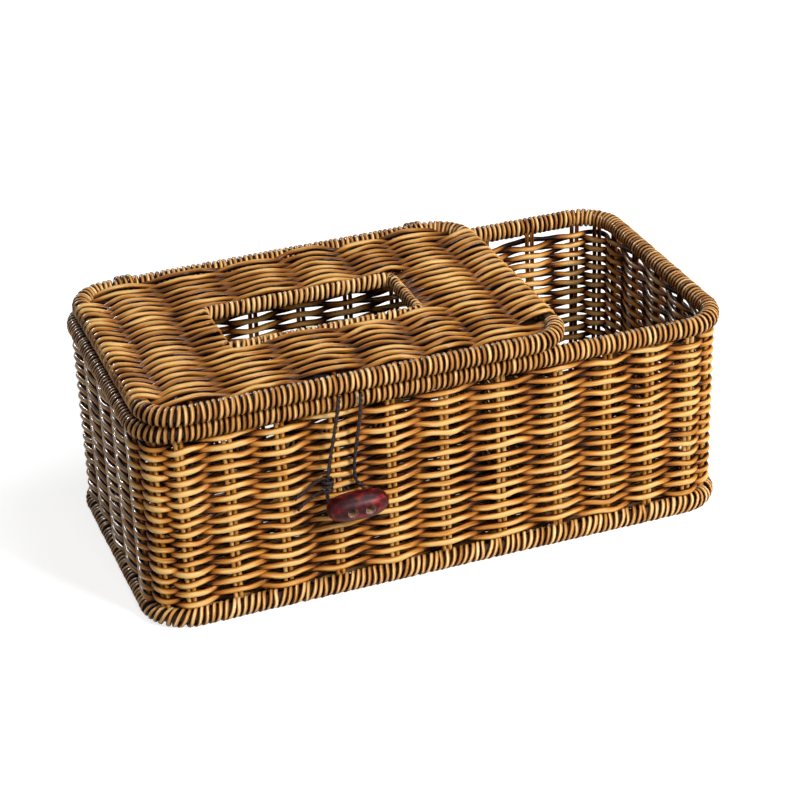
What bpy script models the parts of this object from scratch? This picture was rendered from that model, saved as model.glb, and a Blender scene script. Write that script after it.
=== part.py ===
"""A lidded wicker basket that covers a tissue pack and has an open bay beside it.

The basket is 250 mm long, 125 mm deep and 90 mm high, and its lid lies on the left part of its rim.
Units are metres. X runs along the length, Y towards the hinged back and Z up.
Places are worked out from the middle of the basket, and SHIFT_Y then centres the whole part on Y.
"""

import math

import bmesh
import bpy
from mathutils import Matrix, Vector

# Clearances, and how near two points lie that are one
TOUCH_GAP = 0.0003
CUT_OVERRUN = 0.002
WELD_DISTANCE = 0.00002

# Basket
BASKET_LENGTH = 0.250
BASKET_DEPTH = 0.125
BASKET_HEIGHT = 0.090
RIM_CORNER_RADIUS = 0.020
TOP_RIM_RADIUS = 0.004
BASE_RIM_RADIUS = 0.004
BASE_FLAT_DEPTH = 0.0005
BINDING_THICKNESS = 0.0013
BINDING_END_GAP = 0.0008
BASE_PANEL_THICKNESS = 0.003
BASE_PANEL_LIFT = 0.0015

# Woven walls: how far their outer faces stand back from the rims', along the long sides and at the ends
WALL_SETBACK = 0.0035
WALL_END_SETBACK = 0.0015
WALL_TOP_GAP = 0.0025
ROD_RADIUS = 0.00095
ROD_SPACING = 0.0025
ROD_WEB = 0.0009
WEAVER_THICKNESS = 0.0021
WEAVE_BANDS = 12
SIDE_STAKES = 5
BACK_STAKES = 11
FRONT_STAKE_SHARES = (-0.5, -0.412, -0.314, -0.212, -0.104, 0.0, 0.113, 0.228, 0.329, 0.417, 0.5)
LOW_WEAVE_SHARE = 0.1
CORNER_LOW_WEAVE_SHARE = 0.62
INNER_WEAVE_SHARE = 0.8
BAND_EDGE_SHARE = 0.22

# Divider
TISSUE_BAY_LENGTH = 0.160
DIVIDER_THICKNESS = 0.0042
DIVIDER_COLUMNS = 5
DIVIDER_RELIEF_SHARE = 0.2

# Lid
LID_LENGTH = 0.1765
LID_DEPTH = 0.125
LID_SHIFT = 0.0028
LID_RIM_RADIUS = 0.004
LID_CORNER_RADIUS = 0.018
LID_MAT_BELOW = 0.0024
LID_MAT_LOW = -0.0004
LID_MAT_HIGH = 0.0036
# Each rod of the lid's mat: its place along the lid, of the lid's length
LID_ROD_SHARES = (0.123, 0.271, 0.443, 0.588, 0.718, 0.840)
LID_BANDS = 47
SLOT_LENGTH = 0.0855
SLOT_DEPTH = 0.0385
SLOT_FROM_LEFT = 0.045
SLOT_RIM_WIDTH = 0.0045
SLOT_RIM_HEIGHT = 0.0068
SLOT_CORNER_RADIUS = 0.005

# Hinge ties
TIE_RADIUS = 0.0009
TIE_TURNS = 3
TIE_TURN_GAP = 0.0005
TIE_STAKE_SPANS = (-4.5, 1.5)

# Toggle, its cord and the closing loop
TOGGLE_X = -0.0408
TOGGLE_Z = 0.0434
TOGGLE_LENGTH = 0.025
TOGGLE_RADIUS = 0.0057
TOGGLE_HOLE_RADIUS = 0.0015
TOGGLE_HOLE_OFFSET = 0.0037
TOGGLE_SINK_RADIUS = 0.0023
TOGGLE_SINK_DEPTH = 0.0012
TOGGLE_CORD_RADIUS = 0.0006
TOGGLE_CORD_HALF_SPACING = 0.00085
TOGGLE_BIGHT_RADIUS = 0.0026
# Where the toggle's cord turns: of the toggle hole's offset, and of its own half spacing
CORD_TURN_SHARES = (0.9, 1.5)
# The bight behind the wall: across and up, of its radius, and between them its depth, of the cord's radius
CORD_BIGHT_SHARES = ((0.75, 1.0, 0.2), (1.0, 2.0, 0.6), (0.7, 2.0, 1.1), (0.0, 2.0, 1.35))
LOOP_RADIUS = 0.0009
KNOT_CORD_RADIUS = 0.0007
KNOT_TURNS = 3
KNOT_TURN_GAP = 0.00045

# The loop's route from under the lid's front rim, behind the toggle and up again
LOOP_ROUTE = (
    (-0.0452, -0.0640, 0.0904),
    (-0.0459, -0.0640, 0.0860),
    (-0.0468, -0.0639, 0.0800),
    (-0.0479, -0.0630, 0.0725),
    (-0.0491, -0.0624, 0.0650),
    (-0.0503, -0.0622, 0.0580),
    (-0.0510, -0.0622, 0.0525),
    (-0.0511, -0.0613, 0.0475),
    (-0.0499, -0.06025, 0.0430),
    (-0.0472, -0.06025, 0.0383),
    (-0.0436, -0.06025, 0.0357),
    (-0.0396, -0.06025, 0.0357),
    (-0.0359, -0.06025, 0.0384),
    (-0.0347, -0.06025, 0.0425),
    (-0.0361, -0.06025, 0.0468),
    (-0.0386, -0.06025, 0.0505),
    (-0.0391, -0.06035, 0.0570),
    (-0.0384, -0.0610, 0.0650),
    (-0.0377, -0.0624, 0.0725),
    (-0.0371, -0.0637, 0.0800),
    (-0.0366, -0.0640, 0.0860),
    (-0.0364, -0.0640, 0.0904),
)
KNOT_LOOP_POINT = 6
UPPER_TAIL = ((-0.0560, -0.0612, 0.0535), (-0.0600, -0.0604, 0.0500), (-0.0640, -0.0603, 0.0475))
LOWER_TAIL = ((-0.0560, -0.0608, 0.0478), (-0.0595, -0.0604, 0.0455), (-0.0630, -0.0603, 0.0425))

# Roundness of the meshes
CORNER_STEPS = 4
RIM_SIDES_RESOLUTION = 4
CORE_SIDES_RESOLUTION = 2
THIN_SIDES_RESOLUTION = 1
ROD_ARC_POINTS = 7
TIE_ARC_STEPS = 6
KNOT_TURN_STEPS = 8
TOGGLE_STEPS = 20
TOGGLE_PROFILE_POINTS = 9
HOLE_VERTICES = 12
TOGGLE_END_POWER = 2.6
SHARP_DEGREES = 40
FLAT_DEGREES = 1
CORD_ROUTE_STEPS = 2
TAIL_ROUTE_STEPS = 3
MILLIMETRES_PER_METRE = 1000

# Places that follow from the sizes
HALF_LENGTH = BASKET_LENGTH / 2
HALF_DEPTH = BASKET_DEPTH / 2
WALL_HALF_THICKNESS = ROD_RADIUS + WEAVER_THICKNESS
WALL_HALF_LENGTH = HALF_LENGTH - WALL_END_SETBACK - WALL_HALF_THICKNESS
WALL_HALF_DEPTH = HALF_DEPTH - WALL_SETBACK - WALL_HALF_THICKNESS
WALL_CORNER_RADIUS = RIM_CORNER_RADIUS - WALL_SETBACK - WALL_HALF_THICKNESS
FLAT_LENGTH = 2 * (WALL_HALF_LENGTH - WALL_CORNER_RADIUS)
FLAT_DEPTH = 2 * (WALL_HALF_DEPTH - WALL_CORNER_RADIUS)
CORNER_ARC = math.pi / 2 * WALL_CORNER_RADIUS
BASE_RIM_Z = BASE_RIM_RADIUS - BASE_FLAT_DEPTH
TOP_RIM_Z = BASKET_HEIGHT - TOP_RIM_RADIUS
WALL_BOTTOM = BASE_RIM_Z + BASE_RIM_RADIUS + TOUCH_GAP
WALL_TOP = BASKET_HEIGHT - 2 * TOP_RIM_RADIUS - WALL_TOP_GAP
INNER_FACE = WALL_HALF_THICKNESS * INNER_WEAVE_SHARE
PANEL_TOP = BASE_PANEL_LIFT + BASE_PANEL_THICKNESS
LID_Z = TOP_RIM_Z + TOP_RIM_RADIUS + LID_RIM_RADIUS + TOUCH_GAP
LID_CENTRE_X = -HALF_LENGTH + LID_SHIFT + LID_LENGTH / 2
LID_CENTRE_Y = HALF_DEPTH - LID_SHIFT - LID_DEPTH / 2
HINGE_Y = HALF_DEPTH - TOP_RIM_RADIUS
HINGE_Z = TOP_RIM_Z
WALL_FACE_Y = HALF_DEPTH - WALL_SETBACK
TOGGLE_BACK = WALL_FACE_Y + 2 * LOOP_RADIUS + 2 * TOUCH_GAP
TOGGLE_Y = -(TOGGLE_BACK + TOGGLE_RADIUS)
TOGGLE_FRONT = TOGGLE_BACK + 2 * TOGGLE_RADIUS
TIE_REACH = TOP_RIM_RADIUS + TOUCH_GAP + TIE_RADIUS
BACK_REACH = HINGE_Y + TIE_REACH + TIE_RADIUS
SHIFT_Y = (TOGGLE_FRONT - BACK_REACH) / 2


def new_collection(name):
    """An empty collection of that name, linked to the scene."""
    collection = bpy.data.collections.new(name)
    bpy.context.scene.collection.children.link(collection)
    return collection


def make_material(name, colour, roughness):
    """A Principled material with one colour."""
    material = bpy.data.materials.new(name)
    material.use_nodes = True
    shader = material.node_tree.nodes["Principled BSDF"]
    shader.inputs["Base Color"].default_value = (*colour, 1.0)
    shader.inputs["Roughness"].default_value = roughness
    material.diffuse_color = (*colour, 1.0)
    return material


def place(obj, part, pivot=(0.0, 0.0, 0.0)):
    """Links an object that is drawn about the basket's middle, and sets its origin on the pivot."""
    offset = Vector(pivot)
    obj.data.transform(Matrix.Translation(-offset))
    obj.location = offset
    obj.parent = part["frame"]
    part["parts"].objects.link(obj)
    return obj


def finish_mesh(bm, name, material):
    """A new object from the bmesh, with its normals facing out."""
    bmesh.ops.recalc_face_normals(bm, faces=bm.faces)
    mesh = bpy.data.meshes.new(name)
    bm.to_mesh(mesh)
    bm.free()
    if material:
        mesh.materials.append(material)
    return bpy.data.objects.new(name, mesh)


def smooth(obj):
    """Smooth shading with the sharp edges kept."""
    obj.data.shade_smooth()
    obj.data.set_sharp_from_angle(angle=math.radians(SHARP_DEGREES))


def tube_mesh(name, points, radius, resolution, cyclic=False, material=None):
    """A round tube along the points, as a mesh object with its caps welded."""
    curve = bpy.data.curves.new(name + "_path", "CURVE")
    curve.dimensions = "3D"
    curve.bevel_depth = radius
    curve.bevel_resolution = resolution
    curve.use_fill_caps = not cyclic
    spline = curve.splines.new("POLY")
    spline.points.add(len(points) - 1)
    for target, point in zip(spline.points, points):
        target.co = (*point, 1.0)
    spline.use_cyclic_u = cyclic
    guide = bpy.data.objects.new(name + "_guide", curve)
    bpy.context.scene.collection.objects.link(guide)
    graph = bpy.context.evaluated_depsgraph_get()
    mesh = bpy.data.meshes.new_from_object(guide.evaluated_get(graph))
    mesh.name = name
    bm = bmesh.new()
    bm.from_mesh(mesh)
    bmesh.ops.remove_doubles(bm, verts=bm.verts, dist=WELD_DISTANCE)
    bmesh.ops.recalc_face_normals(bm, faces=bm.faces)
    bm.to_mesh(mesh)
    bm.free()
    bpy.data.objects.remove(guide)
    mesh.materials.clear()
    if material:
        mesh.materials.append(material)
    return bpy.data.objects.new(name, mesh)


def smooth_route(points, steps):
    """A Catmull-Rom curve through the points, with that many steps a span."""
    points = [Vector(p) for p in points]
    padded = [2 * points[0] - points[1], *points, 2 * points[-1] - points[-2]]
    route = []
    for i in range(len(points) - 1):
        a, b, c, d = padded[i : i + 4]
        for k in range(steps):
            t = k / steps
            bend = (2 * b) + (c - a) * t + (2 * a - 5 * b + 4 * c - d) * t**2
            route.append((bend + (3 * b - a - 3 * c + d) * t**3) / 2)
    route.append(points[-1])
    return route


def print_least_gap(name, points, radius, turn_steps):
    """Measures how near a winding comes to itself, on points at least half a turn apart, and prints it."""
    apart = turn_steps // 2
    least = min((a - b).length for i, a in enumerate(points) for b in points[i + apart + 1 :])
    gap = (least - 2 * radius) * MILLIMETRES_PER_METRE
    print(f"{name}: least gap to itself {gap:.2f} mm")


def rounded_outline(half_x, half_y, radius, steps=CORNER_STEPS):
    """The corners of a rounded rectangle as points, counter-clockwise from the front right."""
    corners = ((1, -1, -90), (1, 1, 0), (-1, 1, 90), (-1, -1, 180))
    points = []
    for side_x, side_y, start in corners:
        for k in range(steps + 1):
            angle = math.radians(start + 90 * k / steps)
            x = side_x * (half_x - radius) + radius * math.cos(angle)
            y = side_y * (half_y - radius) + radius * math.sin(angle)
            points.append(Vector((x, y, 0.0)))
    return points


def ring_route(half_x, half_y, radius, z, centre=(0.0, 0.0)):
    """A closed rounded-rectangle route at one height."""
    middle = Vector((*centre, z))
    return [middle + p for p in rounded_outline(half_x, half_y, radius)]


def wall_place(s):
    """The point and outward normal at length s along the walls' middle surface, from the front's middle."""
    pieces = (
        (FLAT_LENGTH / 2, Vector((0, -1)), Vector((0.0, -WALL_HALF_DEPTH)), Vector((1, 0))),
        (CORNER_ARC, -90, Vector((FLAT_LENGTH / 2, -FLAT_DEPTH / 2)), None),
        (FLAT_DEPTH, Vector((1, 0)), Vector((WALL_HALF_LENGTH, -FLAT_DEPTH / 2)), Vector((0, 1))),
        (CORNER_ARC, 0, Vector((FLAT_LENGTH / 2, FLAT_DEPTH / 2)), None),
        (FLAT_LENGTH, Vector((0, 1)), Vector((FLAT_LENGTH / 2, WALL_HALF_DEPTH)), Vector((-1, 0))),
        (CORNER_ARC, 90, Vector((-FLAT_LENGTH / 2, FLAT_DEPTH / 2)), None),
        (FLAT_DEPTH, Vector((-1, 0)), Vector((-WALL_HALF_LENGTH, FLAT_DEPTH / 2)), Vector((0, -1))),
        (CORNER_ARC, 180, Vector((-FLAT_LENGTH / 2, -FLAT_DEPTH / 2)), None),
        (FLAT_LENGTH / 2, Vector((0, -1)), Vector((-FLAT_LENGTH / 2, -WALL_HALF_DEPTH)), Vector((1, 0))),
    )
    total = sum(piece[0] for piece in pieces)
    s = s % total
    for length, facing, start, along in pieces:
        if s <= length:
            break
        s -= length
    if along:
        return start + along * s, Vector(facing)
    angle = math.radians(facing) + s / WALL_CORNER_RADIUS
    normal = Vector((math.cos(angle), math.sin(angle)))
    return start + normal * WALL_CORNER_RADIUS, normal


def spread(count, length):
    """Places spread evenly over a length, about its middle."""
    return [length * (k / (count - 1) - 1 / 2) for k in range(count)]


def stake_places():
    """Each stake's name and its length along the walls, in order round the basket from the front left."""
    right = FLAT_LENGTH / 2 + CORNER_ARC + FLAT_DEPTH / 2
    back = right + FLAT_DEPTH / 2 + CORNER_ARC + FLAT_LENGTH / 2
    left = back + FLAT_LENGTH / 2 + CORNER_ARC + FLAT_DEPTH / 2
    half_corner = CORNER_ARC / 2
    front = [share * FLAT_LENGTH for share in FRONT_STAKE_SHARES]
    stakes = [(f"stake_front_{k + 1:02d}", s) for k, s in enumerate(front)]
    stakes.append(("stake_corner_front_right", FLAT_LENGTH / 2 + half_corner))
    stakes += [(f"stake_right_{k + 1}", right + s) for k, s in enumerate(spread(SIDE_STAKES, FLAT_DEPTH))]
    stakes.append(("stake_corner_back_right", right + FLAT_DEPTH / 2 + half_corner))
    rear = spread(BACK_STAKES, FLAT_LENGTH)
    stakes += [(f"stake_back_{k + 1:02d}", back + s) for k, s in enumerate(rear)]
    stakes.append(("stake_corner_back_left", back + FLAT_LENGTH / 2 + half_corner))
    stakes += [(f"stake_left_{k + 1}", left + s) for k, s in enumerate(spread(SIDE_STAKES, FLAT_DEPTH))]
    stakes.append(("stake_corner_front_left", left + FLAT_DEPTH / 2 + half_corner))
    return stakes


def woven_sheet(name, columns, rows, outer, inner, material):
    """A closed sheet whose outer face rises where a strand passes over a rod, with a plain inner face.

    columns holds (place, sign) pairs, with a sign of 0 at either end. rows holds (height, band) pairs.
    outer and inner turn a place, a height and a rise from -1 to 1 into a point.
    """
    bm = bmesh.new()
    last_column, last_row = len(columns) - 1, len(rows) - 1
    bmesh.ops.create_grid(bm, x_segments=last_column, y_segments=last_row, size=1.0)

    def cell(vert):
        column = round((vert.co.x + 1) / 2 * last_column)
        row = round((vert.co.y + 1) / 2 * last_row)
        return columns[column], rows[row]

    front = list(bm.verts)
    extruded = bmesh.ops.extrude_face_region(bm, geom=bm.faces[:])["geom"]
    back = [item for item in extruded if isinstance(item, bmesh.types.BMVert)]
    for vert in back:
        (where, _), (height, _) = cell(vert)
        vert.co = inner(where, height)
    for vert in front:
        (where, sign), (height, band) = cell(vert)
        rise = -1 if band is None else sign * (1 if band % 2 else -1)
        vert.co = outer(where, height, rise)
    inside = set(back)
    flat_edges = [edge for edge in bm.edges if set(edge.verts) <= inside]
    bmesh.ops.dissolve_limit(bm, angle_limit=math.radians(FLAT_DEGREES), verts=back, edges=flat_edges)
    return finish_mesh(bm, name, material)


def band_rows(low, high, bands):
    """Two heights for each band of the weave, and one at each edge of the sheet."""
    step = (high - low) / bands
    rows = [(low, None)]
    for band in range(bands):
        rows.append((low + step * (band + BAND_EDGE_SHARE), band))
        rows.append((low + step * (band + 1 - BAND_EDGE_SHARE), band))
    rows.append((high, None))
    return rows


def rod_columns(start, length, count):
    """A place and a sign for each of a sheet's rods, evenly spaced, and a place at each end."""
    step = length / count
    rods = [(start + step * (k + 0.5), -1 if k % 2 else 1) for k in range(count)]
    return [(start, 0), *rods, (start + length, 0)]


def lid_columns(half):
    """A place and a sign for each rod of the lid's mat, and a place at either end of the mat."""
    left = LID_CENTRE_X - LID_LENGTH / 2
    rods = [(left + share * LID_LENGTH, -1 if k % 2 else 1) for k, share in enumerate(LID_ROD_SHARES)]
    return [(LID_CENTRE_X - half, 0), *rods, (LID_CENTRE_X + half, 0)]


def box_cutter(bm, centre, size, normal=None):
    """Adds a box to the cutter's bmesh, with its depth along the normal in plan."""
    turn = Matrix.Identity(4)
    if normal:
        turn = Matrix.Rotation(math.atan2(normal.y, normal.x) - math.pi / 2, 4, "Z")
    scale = Matrix.Diagonal((*size, 1.0))
    bmesh.ops.create_cube(bm, size=1.0, matrix=Matrix.Translation(centre) @ turn @ scale)


def round_cutter(bm, centre, radius, length, end_radius=None):
    """Adds a cylinder or cone along Y to the cutter's bmesh, narrow end to the back."""
    turn = Matrix.Rotation(math.pi / 2, 4, "X")
    bmesh.ops.create_cone(
        bm,
        cap_ends=True,
        segments=HOLE_VERTICES,
        radius1=end_radius if end_radius else radius,
        radius2=radius,
        depth=length,
        matrix=Matrix.Translation(centre) @ turn,
    )


def cut(obj, bm, part):
    """Takes the bmesh's shapes out of the object with one Boolean."""
    cutter = finish_mesh(bm, obj.name + "_cutter", None)
    cut_with(obj, cutter, part)


def cut_with(obj, cutter, part):
    """Takes the cutter out of the object with one Boolean."""
    cutter.hide_render = True
    cutter.display_type = "WIRE"
    cutter.parent = part["frame"]
    part["cutters"].objects.link(cutter)
    boolean = obj.modifiers.new("cut_" + cutter.name, "BOOLEAN")
    boolean.operation = "DIFFERENCE"
    boolean.object = cutter


def wall_weave(part, name, first, last, stakes):
    """One run of the woven wall, from half-way before its first stake to half-way past its last.

    Along a side the weave dips below its uprights, which show there. A corner's closes over its upright.
    """
    total = 2 * (FLAT_LENGTH + FLAT_DEPTH) + 4 * CORNER_ARC
    count = len(stakes)
    places = []
    for k in range(first - 1, last + 2):
        turns, stake = divmod(k, count)
        places.append((stakes[stake][1] + turns * total, k))
    start = (places[0][0] + places[1][0] + TOUCH_GAP) / 2
    end = (places[-2][0] + places[-1][0] - TOUCH_GAP) / 2
    columns = [(s, 1 if k % 2 else -1) for s, k in places[1:-1]]
    columns = [(start, 0), *columns, (end, 0)]

    low = CORNER_LOW_WEAVE_SHARE if first == last else LOW_WEAVE_SHARE

    def outer(s, height, rise):
        point, normal = wall_place(s)
        share = low + (1 - low) * (rise + 1) / 2
        return (*(point + normal * WALL_HALF_THICKNESS * share), height)

    def inner(s, height):
        point, normal = wall_place(s)
        return (*(point - normal * INNER_FACE), height)

    rows = band_rows(WALL_BOTTOM, WALL_TOP, WEAVE_BANDS)
    wall = woven_sheet(name, columns, rows, outer, inner, part["honey"])
    cutter = bmesh.new()
    channel_width = ROD_SPACING + 2 * ROD_RADIUS + 2 * TOUCH_GAP
    channel_depth = 2 * ROD_RADIUS + 2 * TOUCH_GAP
    height = WALL_TOP - WALL_BOTTOM + 2 * CUT_OVERRUN
    middle = (WALL_TOP + WALL_BOTTOM) / 2
    for s, _ in places[1:-1]:
        point, normal = wall_place(s)
        box_cutter(cutter, (*point, middle), (channel_width, channel_depth, height), normal)
    if name == "front_wall_weave":
        hole = TOGGLE_CORD_HALF_SPACING + TOGGLE_CORD_RADIUS + TOUCH_GAP
        depth = 2 * WALL_HALF_THICKNESS + 2 * CUT_OVERRUN
        round_cutter(cutter, (TOGGLE_X, -WALL_HALF_DEPTH, TOGGLE_Z), hole, depth)
    cut(wall, cutter, part)
    return place(wall, part)


def stake_outline():
    """Two round rods side by side, joined by a thin web, as one outline."""
    web_angle = math.asin(ROD_WEB / 2 / ROD_RADIUS)
    points = []
    for side, start in ((1, -math.pi + web_angle), (-1, web_angle)):
        sweep = 2 * math.pi - 2 * web_angle
        for k in range(ROD_ARC_POINTS):
            angle = start + sweep * k / (ROD_ARC_POINTS - 1)
            x = side * ROD_SPACING / 2 + ROD_RADIUS * math.cos(angle)
            points.append((x, ROD_RADIUS * math.sin(angle)))
    return points


def rim_reach(radius):
    """How far a rim's round surface stands over its axis where the stakes meet it."""
    inside = min(HALF_LENGTH - WALL_HALF_LENGTH, HALF_DEPTH - WALL_HALF_DEPTH)
    offset = inside - radius - ROD_RADIUS
    return math.sqrt(radius**2 - max(offset, 0.0) ** 2)


def add_stakes(part, stakes):
    """Every upright: a pair of rods between the base rim and the top rim."""
    low = BASE_RIM_Z + rim_reach(BASE_RIM_RADIUS) + TOUCH_GAP
    high = TOP_RIM_Z - rim_reach(TOP_RIM_RADIUS) - TOUCH_GAP
    curve = bpy.data.curves.new("stake_outline", "CURVE")
    curve.dimensions = "2D"
    curve.fill_mode = "BOTH"
    curve.extrude = (high - low) / 2
    curve.materials.append(part["dark_rod"])
    outline = stake_outline()
    spline = curve.splines.new("POLY")
    spline.points.add(len(outline) - 1)
    for target, (x, y) in zip(spline.points, outline):
        target.co = (x, y, 0.0, 1.0)
    spline.use_cyclic_u = True
    for name, s in stakes:
        point, normal = wall_place(s)
        stake = bpy.data.objects.new(name, curve)
        stake.location = (*point, (low + high) / 2)
        stake.rotation_euler = (0.0, 0.0, math.atan2(normal.y, normal.x) - math.pi / 2)
        stake.parent = part["frame"]
        part["parts"].objects.link(stake)


def add_rim(part, names, half_x, half_y, corner, radius, z, centre, pivot=(0.0, 0.0, 0.0)):
    """A rim: a rod bent into a ring, and the strand bound round it as a sleeve with a slit at the back."""
    core_name, binding_name = names
    line_x, line_y, line_corner = half_x - radius, half_y - radius, corner - radius
    route = ring_route(line_x, line_y, line_corner, z, centre)
    bore_radius = radius - BINDING_THICKNESS
    core_radius = bore_radius - TOUCH_GAP
    core = tube_mesh(core_name, route, core_radius, CORE_SIDES_RESOLUTION, True, part["dark_rod"])
    smooth(core)
    place(core, part, pivot)
    half = 2 * (CORNER_STEPS + 1)
    slit = BINDING_END_GAP / 2
    back_y = centre[1] + line_y
    open_route = [
        Vector((centre[0] - slit, back_y, z)),
        *route[half:],
        *route[:half],
        Vector((centre[0] + slit, back_y, z)),
    ]
    binding = tube_mesh(binding_name, open_route, radius, RIM_SIDES_RESOLUTION, False, part["honey"])
    bore = tube_mesh(binding_name + "_bore", route, bore_radius, CORE_SIDES_RESOLUTION, True)
    smooth(binding)
    place(binding, part, pivot)
    cut_with(binding, bore, part)
    return binding


def add_base(part):
    """The base rim, cut flat underneath, and the woven floor inside it."""
    names = ("base_rim_core", "base_rim_binding")
    shape = (HALF_LENGTH, HALF_DEPTH, RIM_CORNER_RADIUS, BASE_RIM_RADIUS)
    rim = add_rim(part, names, *shape, BASE_RIM_Z, (0.0, 0.0))
    slab = bmesh.new()
    slab_size = (BASKET_LENGTH + 2 * CUT_OVERRUN, BASKET_DEPTH + 2 * CUT_OVERRUN, CUT_OVERRUN)
    box_cutter(slab, (0.0, 0.0, -CUT_OVERRUN / 2), slab_size)
    flat_cutter = finish_mesh(slab, "base_rim_flat_cutter", None)
    cut_with(rim, flat_cutter, part)
    inset = 2 * BASE_RIM_RADIUS + TOUCH_GAP
    outline = rounded_outline(HALF_LENGTH - inset, HALF_DEPTH - inset, RIM_CORNER_RADIUS - inset)
    curve = bpy.data.curves.new("base_panel", "CURVE")
    curve.dimensions = "2D"
    curve.fill_mode = "BOTH"
    curve.extrude = BASE_PANEL_THICKNESS / 2
    curve.materials.append(part["brown"])
    spline = curve.splines.new("POLY")
    spline.points.add(len(outline) - 1)
    for target, point in zip(spline.points, outline):
        target.co = (point.x, point.y, 0.0, 1.0)
    spline.use_cyclic_u = True
    panel = bpy.data.objects.new("base_panel", curve)
    panel.location = (0.0, 0.0, BASE_PANEL_LIFT + BASE_PANEL_THICKNESS / 2)
    panel.parent = part["frame"]
    part["parts"].objects.link(panel)


def add_divider(part):
    """The woven partition between the tissue bay and the open bay."""
    left_x = -WALL_HALF_LENGTH + INNER_FACE + TISSUE_BAY_LENGTH
    span = 2 * (WALL_HALF_DEPTH - INNER_FACE - TOUCH_GAP)
    relief = DIVIDER_THICKNESS * DIVIDER_RELIEF_SHARE
    columns = rod_columns(-span / 2, span, DIVIDER_COLUMNS)

    def outer(y, height, rise):
        return (left_x + relief * (1 - rise) / 2, y, height)

    def inner(y, height):
        return (left_x + DIVIDER_THICKNESS, y, height)

    rows = band_rows(PANEL_TOP + TOUCH_GAP, WALL_TOP, WEAVE_BANDS)
    divider = woven_sheet("divider_weave", columns, rows, outer, inner, part["brown"])
    place(divider, part)


def lid_pivot():
    """A point on the hinge line, at the basket's middle."""
    return (0.0, HINGE_Y, HINGE_Z)


def tie_places():
    """Where the two hinge ties sit along the back rim, half-way between stakes."""
    pitch = FLAT_LENGTH / (BACK_STAKES - 1)
    return [pitch * spans for spans in TIE_STAKE_SPANS]


def add_lid(part):
    """The lid: its framed rim, its woven mat with the slot, and the slot's own bound rim."""
    names = ("lid_frame_core", "lid_rim_binding")
    centre = (LID_CENTRE_X, LID_CENTRE_Y)
    half_x, half_y = LID_LENGTH / 2, LID_DEPTH / 2
    add_rim(part, names, half_x, half_y, LID_CORNER_RADIUS, LID_RIM_RADIUS, LID_Z, centre, lid_pivot())
    inset = 2 * LID_RIM_RADIUS + TOUCH_GAP
    mat_x, mat_y = half_x - inset, half_y - inset
    sheet_x, sheet_y = mat_x + CUT_OVERRUN, mat_y * (LID_BANDS + 2) / LID_BANDS
    columns = lid_columns(sheet_x)

    def outer(x, y, rise):
        return (x, y, LID_Z + LID_MAT_LOW + (LID_MAT_HIGH - LID_MAT_LOW) * (rise + 1) / 2)

    def inner(x, y):
        return (x, y, LID_Z - LID_MAT_BELOW)

    rows = band_rows(LID_CENTRE_Y - sheet_y, LID_CENTRE_Y + sheet_y, LID_BANDS + 2)
    mat = woven_sheet("lid_weave", columns, rows, outer, inner, part["brown"])
    slot_x = -HALF_LENGTH + LID_SHIFT + SLOT_FROM_LEFT + SLOT_LENGTH / 2
    cutter = bmesh.new()
    through = LID_MAT_BELOW + LID_MAT_HIGH + 2 * CUT_OVERRUN
    slot_size = (SLOT_LENGTH + 2 * TOUCH_GAP, SLOT_DEPTH + 2 * TOUCH_GAP, through)
    box_cutter(cutter, (slot_x, LID_CENTRE_Y + LID_SHIFT, LID_Z), slot_size)
    tie_inner = LID_RIM_RADIUS + TOUCH_GAP + 2 * TIE_RADIUS + TOUCH_GAP
    tie_y = LID_CENTRE_Y + half_y - LID_RIM_RADIUS
    tie_width = TIE_TURNS * (2 * TIE_RADIUS + TIE_TURN_GAP) + 2 * TIE_RADIUS + 2 * TOUCH_GAP
    for x in tie_places():
        box_cutter(cutter, (x, tie_y, LID_Z), (tie_width, 2 * tie_inner, through))
    half_r = LID_CORNER_RADIUS - inset
    keep = bmesh.new()
    outline = rounded_outline(mat_x, mat_y, half_r)
    low = [keep.verts.new((LID_CENTRE_X + p.x, LID_CENTRE_Y + p.y, LID_Z - through)) for p in outline]
    keep.faces.new(low)
    lifted = bmesh.ops.extrude_face_region(keep, geom=keep.faces[:])["geom"]
    top = [item for item in lifted if isinstance(item, bmesh.types.BMVert)]
    bmesh.ops.translate(keep, verts=top, vec=(0.0, 0.0, 2 * through))
    place(mat, part, lid_pivot())
    trim = finish_mesh(keep, "lid_weave_outline", None)
    cut_with(mat, trim, part)
    mat.modifiers[-1].operation = "INTERSECT"
    cut(mat, cutter, part)
    slot_radius = SLOT_RIM_WIDTH / 2
    slot_line = (SLOT_LENGTH / 2 - slot_radius, SLOT_DEPTH / 2 - slot_radius)
    slot_route = ring_route(*slot_line, SLOT_CORNER_RADIUS - slot_radius, 0.0)
    sides = CORE_SIDES_RESOLUTION
    slot_rim = tube_mesh("slot_rim_binding", slot_route, slot_radius, sides, True, part["honey"])
    slot_rim.data.transform(Matrix.Diagonal((1.0, 1.0, SLOT_RIM_HEIGHT / SLOT_RIM_WIDTH, 1.0)))
    slot_rim.data.transform(Matrix.Translation((slot_x, LID_CENTRE_Y + LID_SHIFT, LID_Z)))
    smooth(slot_rim)
    place(slot_rim, part, lid_pivot())


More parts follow.
